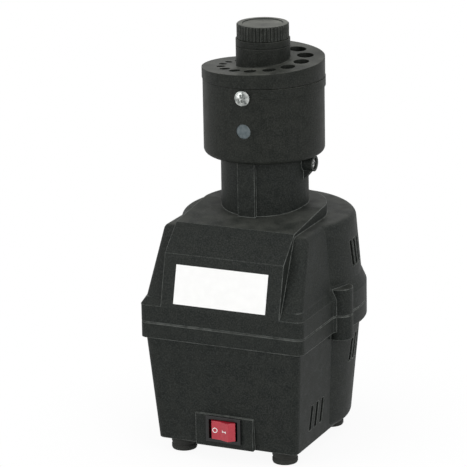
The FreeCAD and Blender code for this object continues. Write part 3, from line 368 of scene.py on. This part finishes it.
# each finish's dusty share also paints light on its upward faces
# each finish's edge strength paints a highlight as well as rubbing
HOUSING_PLASTIC = Finish("housing_plastic", (0.0056, 0.0076, 0.0064), (0.0118, 0.0138, 0.0118),
                         (0.14, 0.15, 0.14), roughness=0.62, specular=0.18, grain=1400.0, depth=0.05,
                         edge=0.8, wear_and_highlight=0.85, dust_and_top_light=0.26, speckle=0.09)
HEAD_PLASTIC = Finish("head_plastic", (0.0068, 0.0083, 0.0066), (0.0125, 0.014, 0.0116),
                      (0.12, 0.128, 0.115), roughness=0.55, specular=0.15, grain=1500.0, depth=0.035,
                      edge=0.5, wear_and_highlight=0.1, dust_and_top_light=0.45, speckle=0.085)
KNOB_PLASTIC = replace(HEAD_PLASTIC, dust_and_top_light=0.98, wear_and_highlight=0.8)
FOOT_RUBBER = Finish("foot_rubber", (0.017, 0.018, 0.016), (0.028, 0.029, 0.026), (0.09, 0.09, 0.085),
                     roughness=0.78, specular=0.25, grain=900.0, depth=0.05, edge=0.5, wear_and_highlight=0.35)
SWITCH_PLASTIC = Finish("switch_plastic", (0.006, 0.006, 0.006), (0.009, 0.009, 0.009), (0.05, 0.05, 0.05),
                        roughness=0.36, specular=0.4, grain=2200.0, depth=0.01, edge=0.3, wear_and_highlight=0.3)
ROCKER_RED = Finish("rocker_red", (0.36, 0.014, 0.03), (0.42, 0.02, 0.038), (0.62, 0.12, 0.14),
                    roughness=0.32, specular=0.5, coat=0.15, grain=1700.0, depth=0.01, edge=0.35, wear_and_highlight=0.45)
MARK_WHITE = Finish("label_white", (0.83, 0.83, 0.82), (0.86, 0.86, 0.85), (0.9, 0.9, 0.88),
                    roughness=0.5, grain=1500.0, depth=0.01, edge=0.05, wear_and_highlight=0.2)
ZINC = Finish("zinc_screws", (0.52, 0.53, 0.53), (0.62, 0.62, 0.6), (0.75, 0.75, 0.74),
              roughness=0.34, metallic=1.0, grain=1100.0, depth=0.01, edge=0.15, wear_and_highlight=0.6)
BRIGHT = Finish("bright_screw", (0.1, 0.11, 0.105), (0.5, 0.52, 0.5), (0.85, 0.86, 0.85),
                roughness=0.28, metallic=1.0, grain=3700.0, depth=0.01, edge=0.3, wear_and_highlight=0.35)
GREY_ALUMINIUM = Finish("grey_aluminium", (0.075, 0.094, 0.101), (0.12, 0.142, 0.15), (0.3, 0.32, 0.33),
                        roughness=0.5, metallic=0.75, grain=4000.0, depth=0.04, edge=0.3, wear_and_highlight=0.3)
CAST_ALUMINIUM = Finish("cast_aluminium", (0.42, 0.42, 0.41), (0.52, 0.52, 0.5), (0.66, 0.66, 0.65),
                        roughness=0.5, metallic=1.0, grain=700.0, depth=0.08, edge=0.4, wear_and_highlight=0.5)
BEARING_STEEL = Finish("bearing_steel", (0.5, 0.5, 0.5), (0.6, 0.6, 0.6), (0.8, 0.8, 0.8), roughness=0.2,
                       metallic=1.0, pattern=Pattern.RINGS, grain=350.0, depth=0.01, edge=0.2, wear_and_highlight=0.5)
LAMINATIONS = Finish("laminations", (0.12, 0.125, 0.13), (0.2, 0.2, 0.2), (0.32, 0.31, 0.3), roughness=0.42,
                     metallic=0.9, pattern=Pattern.LAYERS, grain=520.0, depth=0.06, edge=0.2, wear_and_highlight=0.4)
COPPER = Finish("copper_wire", (0.42, 0.13, 0.045), (0.55, 0.19, 0.07), (0.7, 0.32, 0.16),
                roughness=0.28, metallic=0.9, coat=0.4, grain=1600.0, depth=0.01, edge=0.1, wear_and_highlight=0.3)
BRASS = Finish("brass_pieces", (0.56, 0.38, 0.13), (0.64, 0.46, 0.18), (0.8, 0.66, 0.36), roughness=0.28,
               metallic=1.0, pattern=Pattern.RINGS, grain=400.0, depth=0.01, edge=0.2, wear_and_highlight=0.5)
FAN_PLASTIC = Finish("fan_plastic", (0.62, 0.62, 0.57), (0.7, 0.7, 0.66), (0.8, 0.8, 0.77),
                     roughness=0.5, grain=1300.0, depth=0.02, edge=0.4, wear_and_highlight=0.3)
STONE = Finish("grinding_stone", (0.2, 0.085, 0.075), (0.3, 0.15, 0.13), (0.4, 0.24, 0.21), roughness=0.85,
               pattern=Pattern.GRIT, grain=1600.0, depth=0.25, edge=0.6, wear_and_highlight=0.4)

FINISHES = (HOUSING_PLASTIC, HEAD_PLASTIC, KNOB_PLASTIC, FOOT_RUBBER, SWITCH_PLASTIC, ROCKER_RED, MARK_WHITE,
            ZINC, BRIGHT, GREY_ALUMINIUM, CAST_ALUMINIUM, BEARING_STEEL, LAMINATIONS, COPPER, BRASS,
            FAN_PLASTIC, STONE)


# meshes


def soften(mesh: bpy.types.Mesh) -> None:
    """Shades a mesh smooth except at its sharp edges."""
    mesh.shade_smooth()
    mesh.set_sharp_from_angle(angle=SMOOTH_ANGLE)


def lathe(mesh: bmesh.types.BMesh, outline: Sequence[tuple[float, float]], place: Matrix, steps: int) -> None:
    """Turns a closed outline round an axis that it doesn't touch.

    Args:
        mesh: takes the new faces.
        outline: (radius, height) in millimetres, in order round the section, against the clock.
        place: from the axis to the frame, in millimetres.
        steps: number of steps in a full turn.
    """
    rings = []
    for step in range(steps):
        angle = 2 * math.pi * step / steps
        spots = [place @ Vector((r * math.cos(angle), r * math.sin(angle), z)) * MM for r, z in outline]
        rings.append([mesh.verts.new(spot) for spot in spots])
    count = len(outline)
    for step, ring in enumerate(rings):
        after = rings[(step + 1) % steps]
        for n in range(count):
            m = (n + 1) % count
            mesh.faces.new((ring[n], after[n], after[m], ring[m]))


def plate(mesh: bmesh.types.BMesh, outlines: Sequence[Sequence[tuple[float, float]]], place: Matrix,
          thick: float) -> None:
    """Makes a thin plate between two outlines of the same count, or filled inside one.

    Args:
        mesh: takes the new faces.
        outlines: the outer outline, and an inner one if the plate has an opening, against the clock.
        place: from the plate's plane to the frame, in millimetres.
        thick: the plate's thickness.
    """
    levels = [[[mesh.verts.new(place @ Vector((x, y, z)) * MM) for x, y in line] for line in outlines]
              for z in (0.0, thick)]
    count = len(outlines[0])
    for way, line in enumerate(zip(*levels)):
        low, high = line
        for n in range(count):
            m = (n + 1) % count
            wall = (low[n], low[m], high[m], high[n])
            mesh.faces.new(wall if way == 0 else wall[::-1])
    for way, level in enumerate(levels):
        if len(level) == 1:
            mesh.faces.new(level[0] if way else level[0][::-1])
            continue
        outer, inner = level
        for n in range(count):
            m = (n + 1) % count
            strip = (outer[n], outer[m], inner[m], inner[n])
            mesh.faces.new(strip if way else strip[::-1])


def finished(name: str, made: bmesh.types.BMesh) -> bpy.types.Object:
    """Turns a filled bmesh into an object at the origin.

    Args:
        name: the piece's name.
        made: its faces, which are then freed.

    Returns:
        The piece's object.
    """
    bmesh.ops.recalc_face_normals(made, faces=made.faces)
    mesh = bpy.data.meshes.new(name)
    made.to_mesh(mesh)
    made.free()
    soften(mesh)
    item = bpy.data.objects.new(name, mesh)
    bpy.context.scene.collection.objects.link(item)
    return item


# a screw's recess and thread, as shares of its own radius, height or length
RECESS_ARM = 1.15
RECESS_WIDTH = 0.26
RECESS_DEPTH = 1.3
THREAD_LENGTH = 0.85
THREAD_CORE = 0.985
THREAD_RIDGE = 0.06
THREAD_END = 0.98
# rounding of a winding's loops at their corners
LOOP_ROUND = 1.6 * MM


class Workshop:
    """What every sub-assembly uses: the materials by finish and the two Geometry Nodes trees."""

    def __init__(self) -> None:
        """Builds effects, materials and trees."""
        effects = Effects()
        self.materials = {finish: finish.material(effects) for finish in FINISHES}
        self.screws = self._screws()
        self.coils = self._coils()

    def dress(self, finish: Finish, *nodes: str) -> None:
        """Gives CAD nodes a finish."""
        for name in nodes:
            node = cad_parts[name]
            node.data.materials.clear()
            node.data.materials.append(self.materials[finish])
            log.info("%s wears %s", name, finish.slot)

    def keep(self, item: bpy.types.Object, finish: Finish, body: str, *nodes: str) -> None:
        """Lets a new piece ride on a body and stand for CAD nodes.

        Args:
            item: the piece.
            finish: its finish.
            body: the body that it moves with.
            nodes: the CAD nodes that it replaces.
        """
        item.data.materials.clear()
        item.data.materials.append(self.materials[finish])
        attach(item, body)
        if nodes:
            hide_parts(*nodes)
        log.info("%s rides on %s in %s", item.name, body, finish.slot)

    def _screws(self) -> ShapeTree:
        """Builds screws with a domed head, a cross recess and a thread, at points, head towards an axis."""
        tree = ShapeTree("cross_recess_screws", {
            "Axis": (0.0, 0.0, 1.0), "Turn": 0.4, "Head Radius": 0.004, "Head Height": 0.002, "Dome": 0.0006,
            "Shank Radius": 0.002, "Shank Length": 0.01, "Thread Pitch": 0.0007})
        given = tree.given
        radius, height, length = given["Head Radius"], given["Head Height"], given["Shank Length"]
        blank = tree.add("GeometryNodeMeshCylinder", {"Vertices": 40, "Side Segments": 2, "Fill Segments": 6,
                                                      "Radius": radius, "Depth": height}).outputs[0]
        head = tree.moved(blank, tree.vector(z=tree.math("MULTIPLY", height, 0.5)))
        place = tree.add("GeometryNodeInputPosition").outputs[0]
        spot = tree.add("ShaderNodeSeparateXYZ", {0: place}).outputs
        reach = tree.math("ADD", *(tree.math("MULTIPLY", side, side) for side in (spot[0], spot[1])))
        share = tree.math("DIVIDE", reach, tree.math("MULTIPLY", radius, radius))
        rise = tree.math("DIVIDE", spot[2], height)
        sag = tree.math("MULTIPLY", tree.math("MULTIPLY", share, rise), given["Dome"])
        domed = tree.add("GeometryNodeSetPosition", {
            "Geometry": head, "Offset": tree.vector(z=tree.math("MULTIPLY", sag, -1.0))}).outputs[0]
        arm = tree.math("MULTIPLY", radius, RECESS_ARM)
        width = tree.math("MULTIPLY", radius, RECESS_WIDTH)
        deep = tree.math("MULTIPLY", height, RECESS_DEPTH)
        bars = [tree.add("GeometryNodeMeshCube", {"Size": tree.vector(*sides, deep)}).outputs[0]
                for sides in ((arm, width), (width, arm))]
        lifted = [tree.moved(bar, tree.vector(z=height)) for bar in bars]
        cross = tree.add("GeometryNodeMeshBoolean", operation="UNION", solver="EXACT")
        recess = tree.add("GeometryNodeMeshBoolean", {0: domed}, operation="DIFFERENCE", solver="EXACT")
        for bar in lifted:
            tree.tree.links.new(bar, cross.inputs[1])
        tree.tree.links.new(cross.outputs[0], recess.inputs[1])
        shank = tree.add("GeometryNodeMeshCylinder", {"Vertices": 20, "Radius": given["Shank Radius"],
                                                      "Depth": length}).outputs[0]
        shank = tree.moved(shank, tree.vector(z=tree.math("MULTIPLY", length, -0.5)))
        threaded = tree.math("MULTIPLY", length, THREAD_LENGTH)
        turns = tree.math("DIVIDE", threaded, given["Thread Pitch"])
        core = tree.math("MULTIPLY", given["Shank Radius"], THREAD_CORE)
        path = tree.add("GeometryNodeCurveSpiral", {
            "Resolution": 14, "Rotations": turns, "Start Radius": core, "End Radius": core,
            "Height": threaded}).outputs[0]
        ridge = tree.add("GeometryNodeCurvePrimitiveCircle", {
            "Resolution": 3, "Radius": tree.math("MULTIPLY", given["Shank Radius"], THREAD_RIDGE)}).outputs[0]
        thread = tree.add("GeometryNodeCurveToMesh", {0: path, 1: ridge}).outputs[0]
        thread = tree.moved(thread, tree.vector(z=tree.math("MULTIPLY", length, -THREAD_END)))
        joined = tree.add("GeometryNodeJoinGeometry")
        for shape in (recess.outputs[0], shank, thread):
            tree.tree.links.new(shape, joined.inputs[0])
        whole = tree.moved(joined.outputs[0], (0, 0, 0), tree.vector(z=given["Turn"]))
        aim = tree.add("FunctionNodeAlignRotationToVector", {"Vector": given["Axis"]}, axis="Z").outputs[0]
        placed = tree.add("GeometryNodeInstanceOnPoints", {"Points": given["Points"], "Instance": whole,
                                                           "Rotation": aim}).outputs[0]
        tree.finish(placed)
        return tree

    def _coils(self) -> ShapeTree:
        """Builds rings of wire loops that stand round the spindle axis, at points on it."""
        tree = ShapeTree("wound_rings", {"Ring Radius": 0.0275, "Loop Width": 0.005, "Loop Height": 0.006,
                                         "Wire Radius": 0.0004, "Loops": 100})
        given = tree.given
        ring = tree.add("GeometryNodeCurvePrimitiveCircle", {"Resolution": given["Loops"],
                                                             "Radius": given["Ring Radius"]}).outputs[0]
        spots = tree.add("GeometryNodeCurveToPoints", {"Curve": ring, "Count": given["Loops"]}, mode="COUNT")
        outward = tree.add("GeometryNodeInputPosition").outputs[0]
        aim = tree.add("FunctionNodeAxesToRotation", {0: spots.outputs["Tangent"], 1: outward},
                       primary_axis="Z", secondary_axis="X").outputs[0]
        square = tree.add("GeometryNodeCurvePrimitiveQuadrilateral", {
            "Width": given["Loop Width"], "Height": given["Loop Height"]}).outputs[0]
        loop = tree.add("GeometryNodeFilletCurve", {"Curve": square, "Count": 4, "Radius": LOOP_ROUND},
                        mode="POLY").outputs[0]
        wire = tree.add("GeometryNodeCurvePrimitiveCircle", {"Resolution": 6,
                                                             "Radius": given["Wire Radius"]}).outputs[0]
        turn = tree.add("GeometryNodeCurveToMesh", {0: loop, 1: wire}).outputs[0]
        around = tree.add("GeometryNodeInstanceOnPoints", {"Points": spots.outputs[0], "Instance": turn,
                                                           "Rotation": aim}).outputs[0]
        rings = {"Points": given["Points"], "Instance": around}
        tree.finish(tree.add("GeometryNodeInstanceOnPoints", rings).outputs[0])
        return tree

    def screw_set(self, node: str, finish: Finish, spots: Sequence[Point], sizes: dict[str, object]) -> None:
        """Puts threaded cross-recess screws in the place of a CAD node on the housing.

        Args:
            node: the CAD node that they stand for.
            finish: their finish.
            spots: where each head's seat is.
            sizes: values for the screw tree.
        """
        item = self.screws.grow(node + "_cut", spots, sizes, self.materials[finish])
        self.keep(item, finish, "housing", node)


# sub-assemblies


@dataclass
class Housing:
    """The two shells, the screws that join them, the feet, the label plate and the inlet."""

    columns: tuple[Point, ...] = ((49.1, -10, 69), (-49.1, -10, 69), (30, 46.5, 69), (-30, 46.5, 69))
    feet: tuple[Point, ...] = ((31, -47.4, 0), (31, 19, 0), (-31, -47.4, 0), (-31, 19, 0))
    foot_radius: float = 7.2
    foot_height: float = 8.5
    foot_recess: float = 4.0
    foot_bore: float = 1.66
    recess_radius: float = 3.3
    lead_in: float = 0.3
    edge_round: float = 1.2
    edge_soft: float = 0.35
    groove_level: float = 3.8
    groove_insets: tuple[float, ...] = (0.0, 0.25, 0.55)
    groove_halves: tuple[float, ...] = (0.9, 0.5, 0.3)
    foot_steps: int = 72

    def build(self, shop: Workshop) -> None:
        """Makes and dresses the pieces."""
        shop.dress(HOUSING_PLASTIC, "base_housing", "upper_cover")
        shop.dress(MARK_WHITE, "rating_label")
        shop.dress(SWITCH_PLASTIC, "power_inlet")
        shop.dress(BRASS, "inlet_pins")
        self._screws(shop)
        self._feet(shop)

    def _screws(self, shop: Workshop) -> None:
        """Makes the screws of the columns and the feet, heads down."""
        down = (0.0, 0.0, -1.0)
        shop.screw_set("housing_screws", ZINC, self.columns, {
            "Axis": down, "Head Radius": 3.9 * MM, "Head Height": 2.6 * MM, "Dome": 0.8 * MM,
            "Shank Radius": 2.0 * MM, "Shank Length": 21.0 * MM, "Thread Pitch": 1.4 * MM})
        seats = [(x, y, self.foot_recess) for x, y, _ in self.feet]
        shop.screw_set("foot_screws", ZINC, seats, {
            "Axis": down, "Turn": 0.9, "Head Radius": 3.2 * MM, "Head Height": 2.0 * MM, "Dome": 0.6 * MM,
            "Shank Radius": 1.6 * MM, "Shank Length": 14.25 * MM, "Thread Pitch": 1.2 * MM})

    def _feet(self, shop: Workshop) -> None:
        """Makes the rubber feet, with a soft lower edge and a groove under the flange."""
        out, top, deep = self.foot_radius, self.foot_height, self.foot_recess
        hole, bore = self.recess_radius, self.foot_bore
        steps = list(zip(self.groove_insets, self.groove_halves))
        groove = [(out - inset, self.groove_level - half) for inset, half in steps]
        groove += [(out - inset, self.groove_level + half) for inset, half in reversed(steps)]
        outline = [(hole, self.lead_in), (hole + self.lead_in, 0.0), (out - self.edge_round, 0.0),
                   (out - self.edge_soft, self.edge_soft), (out, self.edge_round), *groove,
                   (out, top), (bore, top), (bore, deep), (hole, deep)]
        made = bmesh.new()
        for foot in self.feet:
            lathe(made, outline, Matrix.Translation(foot), self.foot_steps)
        shop.keep(finished("rubber_feet_turned", made), FOOT_RUBBER, "housing", "rubber_feet")


@dataclass
class RockerSwitch:
    """The switch with its red rocker and the two marks on it."""

    pivot: Point = (0, -59.6, 19.3)
    tilt: float = -11.0
    ridge: float = 5.4
    face: float = 5.2
    valley: float = 0.8
    mark_thick: float = 0.06
    mark_sunk: float = 0.02
    mark_line: float = 0.42
    ring_at: float = -3.4
    ring_size: tuple[float, float] = (1.55, 1.5)
    ring_steps: int = 40
    bar_at: float = 2.7
    bar_length: float = 2.8

    def build(self, shop: Workshop) -> None:
        """Makes and dresses the pieces."""
        shop.dress(SWITCH_PLASTIC, "switch_case")
        shop.dress(ROCKER_RED, "switch_rocker")
        shop.dress(BRASS, "switch_terminals")
        made = bmesh.new()
        self._ring(made)
        self._bar(made)
        shop.keep(finished("rocker_marks", made), MARK_WHITE, "rocker")

    def _on_face(self, across: float) -> Matrix:
        """Returns the place of a mark on the rocker's front.

        Args:
            across: the mark's distance from the rocker's middle.

        Returns:
            A frame with x along the face, y up and z out of it.
        """
        side = 1 if across > 0 else -1
        slope = math.atan2(self.valley, self.ridge)
        along = Vector((math.cos(slope), -side * math.sin(slope), 0))
        out = Vector((-side * math.sin(slope), -math.cos(slope), 0))
        spot = Vector((across, self.valley - self.face - abs(across) * self.valley / self.ridge, 0))
        lift = spot - out * self.mark_sunk
        local = Matrix((along, (0, 0, 1), out)).transposed().to_4x4()
        turn = Matrix.Rotation(math.radians(self.tilt), 4, "Z")
        return Matrix.Translation(self.pivot) @ turn @ Matrix.Translation(lift) @ local

    def _ring(self, made: bmesh.types.BMesh) -> None:
        """Makes the round mark at the pressed end."""
        lines = []
        for inset in (0.0, self.mark_line):
            width, height = (size - inset for size in self.ring_size)
            turns = [2 * math.pi * n / self.ring_steps for n in range(self.ring_steps)]
            lines.append([(width * math.cos(turn), height * math.sin(turn)) for turn in turns])
        plate(made, lines, self._on_face(self.ring_at), self.mark_thick)

    def _bar(self, made: bmesh.types.BMesh) -> None:
        """Makes the straight mark, which lies on its side, with its two short feet."""
        half, line = self.bar_length / 2, self.mark_line / 2
        foot = 3 * line
        bend = half - 2 * line
        outline = [(-half, -foot), (-bend, -foot), (-bend, -line), (bend, -line), (bend, -foot),
                   (half, -foot), (half, foot), (bend, foot), (bend, line), (-bend, line), (-bend, foot),
                   (-half, foot)]
        plate(made, [outline], self._on_face(self.bar_at), self.mark_thick)


@dataclass
class Motor:
    """The motor that hangs in the housing."""

    bolt_arm: float = 24.395
    bolt_seat: float = 54.3
    ring_levels: tuple[float, float] = (63.75, 103.25)

    def build(self, shop: Workshop) -> None:
        """Makes and dresses the pieces."""
        shop.dress(LAMINATIONS, "stator_core", "rotor_core")
        shop.dress(CAST_ALUMINIUM, "lower_bracket", "upper_bracket")
        shop.dress(BEARING_STEEL, "lower_bearing", "upper_bearing", "spindle_shaft")
        shop.dress(FAN_PLASTIC, "cooling_fan")
        arm = self.bolt_arm
        spots = [(x, y, self.bolt_seat) for x in (arm, -arm) for y in (arm, -arm)]
        shop.screw_set("motor_bolts", ZINC, spots, {
            "Axis": (0.0, 0.0, -1.0), "Turn": 0.2, "Head Radius": 3.6 * MM, "Head Height": 2.6 * MM,
            "Dome": 0.7 * MM, "Shank Radius": 2.0 * MM, "Shank Length": 69.4 * MM, "Thread Pitch": 1.6 * MM})
        rings = shop.coils.grow("stator_windings_wound", [(0, 0, level) for level in self.ring_levels], {
            "Ring Radius": 27.5 * MM, "Loop Width": 5.2 * MM, "Loop Height": 6.5 * MM,
            "Wire Radius": 0.5 * MM, "Loops": 132}, shop.materials[COPPER])
        shop.keep(rings, COPPER, "housing", "stator_windings")


@dataclass
class GrindingHead:
    """The drum on the neck, its screws, and the stone inside it."""

    head_turn: float = 4.0
    drum_radius: float = 34.0
    guide_level: float = 202.9
    lug_seat: float = 27.9
    lug_level: float = 160.2

    def build(self, shop: Workshop) -> None:
        """Makes and dresses the pieces."""
        shop.dress(HEAD_PLASTIC, "head_drum")
        shop.dress(GREY_ALUMINIUM, "set_screws")
        shop.dress(BRASS, "spindle_bush")
        shop.dress(STONE, "grinding_wheel")
        shop.dress(CAST_ALUMINIUM, "wheel_hub")
        shop.dress(ZINC, "wheel_washer", "wheel_nut")
        angle = math.radians(self.head_turn)
        way = Vector((math.sin(angle), -math.cos(angle), 0))
        seat = way * self.drum_radius + Vector((0, 0, self.guide_level))
        shop.screw_set("guide_screw", BRIGHT, [tuple(seat)], {
            "Axis": tuple(way), "Turn": 0.35, "Head Radius": 4.3 * MM, "Head Height": 2.3 * MM,
            "Dome": 1.2 * MM, "Shank Radius": 2.0 * MM, "Shank Length": 5.2 * MM, "Thread Pitch": 0.7 * MM})
        shop.screw_set("lug_screw", ZINC, [(self.lug_seat, 0, self.lug_level)], {
            "Axis": (1.0, 0.0, 0.0), "Turn": 0.3, "Head Radius": 3.2 * MM, "Head Height": 2.2 * MM,
            "Dome": 0.7 * MM, "Shank Radius": 2.0 * MM, "Shank Length": 10.8 * MM, "Thread Pitch": 0.7 * MM})


@dataclass
class GuideCap:
    """The cap with its drill holes and the adjuster in its post."""

    def build(self, shop: Workshop) -> None:
        """Dresses the pieces."""
        shop.dress(HEAD_PLASTIC, "guide_cap")
        shop.dress(KNOB_PLASTIC, "adjusting_knob")
        shop.dress(BRASS, "threaded_insert", "thrust_pad")
        shop.dress(ZINC, "adjusting_stud")


@dataclass(frozen=True)
class Lamp:
    """A square softbox that faces the object: its place and side in metres, its power in watts."""

    name: str
    at: Point
    side: float
    power: float


LAMPS = (Lamp("top_softbox", (0.1, -0.1, 1.5), 1.2, 6.5), Lamp("right_softbox", (1.3, -0.7, 0.7), 1.0, 9.0),
         Lamp("front_softbox", (-0.85, -1.4, 0.62), 1.0, 8.5))
WHITE = (1.0, 1.0, 1.0, 1.0)


@dataclass
class Studio:
    """Floor, soft light and the camera at the photograph's angle."""

    frame_pixels: int = 467
    focal_pixels: float = 3000.0
    scale_pixels: float = 1.77
    shift_pixels: float = -32.29
    azimuth: float = 24.07
    elevation: float = 16.4
    roll: float = -0.85
    target: Point = (0, 0, 116.28)
    sensor: float = 36.0
    near_clip: float = 0.5
    floor_half: float = 4.0
    floor_drop: float = 0.0002
    floor_grey: float = 0.93
    fade_reach: tuple[float, float] = (0.06, 0.15)
    fade_white: tuple[float, float] = (0.93, 1.0)
    ambient: float = 0.5

    def build(self) -> None:
        """Makes the stage, the lamps, the world and the camera."""
        self._floor()
        self._world()
        for lamp in LAMPS:
            self._hang(lamp)
        self._camera()

    def _seen(self, graph: Graph) -> bpy.types.NodeSocket:
        """Returns 1 for rays of the camera, gloss and glass, which see a white studio."""
        rays = graph.add("ShaderNodeLightPath").outputs
        gloss = graph.math("MAXIMUM", rays["Is Glossy Ray"], rays["Is Transmission Ray"])
        return graph.math("MAXIMUM", rays["Is Camera Ray"], gloss)

    def _floor(self) -> None:
        """Makes the pale floor, which fades to white round the object and keeps its shadow."""
        size = self.floor_half
        mesh = bpy.data.meshes.new("floor")
        corners = [(-size, -size), (size, -size), (size, size), (-size, size)]
        mesh.from_pydata([(x, y, -self.floor_drop) for x, y in corners], [], [(0, 1, 2, 3)])
        floor = bpy.data.objects.new("floor", mesh)
        bpy.context.scene.collection.objects.link(floor)
        made = bpy.data.materials.new("studio_floor")
        made.use_nodes = True
        made.node_tree.nodes.clear()
        graph = Graph(made.node_tree)
        place = graph.add("ShaderNodeTexCoord").outputs["Object"]
        reach = graph.add("ShaderNodeVectorMath", {0: place}, operation="LENGTH").outputs["Value"]
        away = graph.spread(reach, self.fade_reach, self.fade_white)
        matt = graph.add("ShaderNodeBsdfDiffuse", {"Color": (*[self.floor_grey] * 3, 1.0)}).outputs[0]
        white = graph.add("ShaderNodeEmission", {"Color": WHITE, "Strength": 1.0}).outputs[0]
        share = graph.math("MULTIPLY", away, self._seen(graph))
        mixed = graph.add("ShaderNodeMixShader", {0: share, 1: matt, 2: white}).outputs[0]
        graph.add("ShaderNodeOutputMaterial", {"Surface": mixed})
        mesh.materials.append(made)

    def _world(self) -> None:
        """Makes the world: white where it is seen, a soft fill where it lights."""
        world = bpy.data.worlds.new("studio")
        world.use_nodes = True
        world.node_tree.nodes.clear()
        graph = Graph(world.node_tree)
        strength = graph.spread(self._seen(graph), (0.0, 1.0), (self.ambient, 1.0))
        back = graph.add("ShaderNodeBackground", {"Color": WHITE, "Strength": strength}).outputs[0]
        graph.add("ShaderNodeOutputWorld", {"Surface": back})
        bpy.context.scene.world = world

    def _hang(self, lamp: Lamp) -> None:
        """Hangs a softbox and turns it to the object."""
        data = bpy.data.lights.new(lamp.name, "AREA")
        data.size = lamp.side
        data.energy = lamp.power
        item = bpy.data.objects.new(lamp.name, data)
        item.location = lamp.at
        aim = Vector(self.target) * MM - item.location
        item.rotation_euler = aim.to_track_quat("-Z", "Y").to_euler()
        bpy.context.scene.collection.objects.link(item)

    def _camera(self) -> None:
        """Sets the camera that was fitted to the photograph's edges."""
        az, el, roll = (math.radians(angle) for angle in (self.azimuth, self.elevation, self.roll))
        back = Vector((math.sin(az) * math.cos(el), -math.cos(az) * math.cos(el), math.sin(el)))
        level = Vector((math.cos(az), math.sin(az), 0))
        upright = back.cross(level)
        right = level * math.cos(roll) + upright * math.sin(roll)
        up = upright * math.cos(roll) - level * math.sin(roll)
        data = bpy.data.cameras.new("camera")
        data.sensor_width = self.sensor
        data.lens = self.focal_pixels * self.sensor / self.frame_pixels
        data.shift_x = self.shift_pixels / self.frame_pixels
        data.clip_start = self.near_clip
        camera = bpy.data.objects.new("camera", data)
        distance = self.focal_pixels / self.scale_pixels
        place = Matrix((right, up, back)).transposed().to_4x4()
        place.translation = (Vector(self.target) + back * distance) * MM
        camera.matrix_world = place
        bpy.context.scene.collection.objects.link(camera)
        bpy.context.scene.camera = camera


def main() -> None:
    """Builds the sub-assemblies and the studio."""
    logging.basicConfig(level=logging.INFO, format="%(message)s")
    bpy.context.scene.view_settings.view_transform = "Standard"
    shop = Workshop()
    for assembly in (Housing(), RockerSwitch(), Motor(), GrindingHead(), GuideCap()):
        assembly.build(shop)
    Studio().build()


if __name__ == "__main__":
    main()
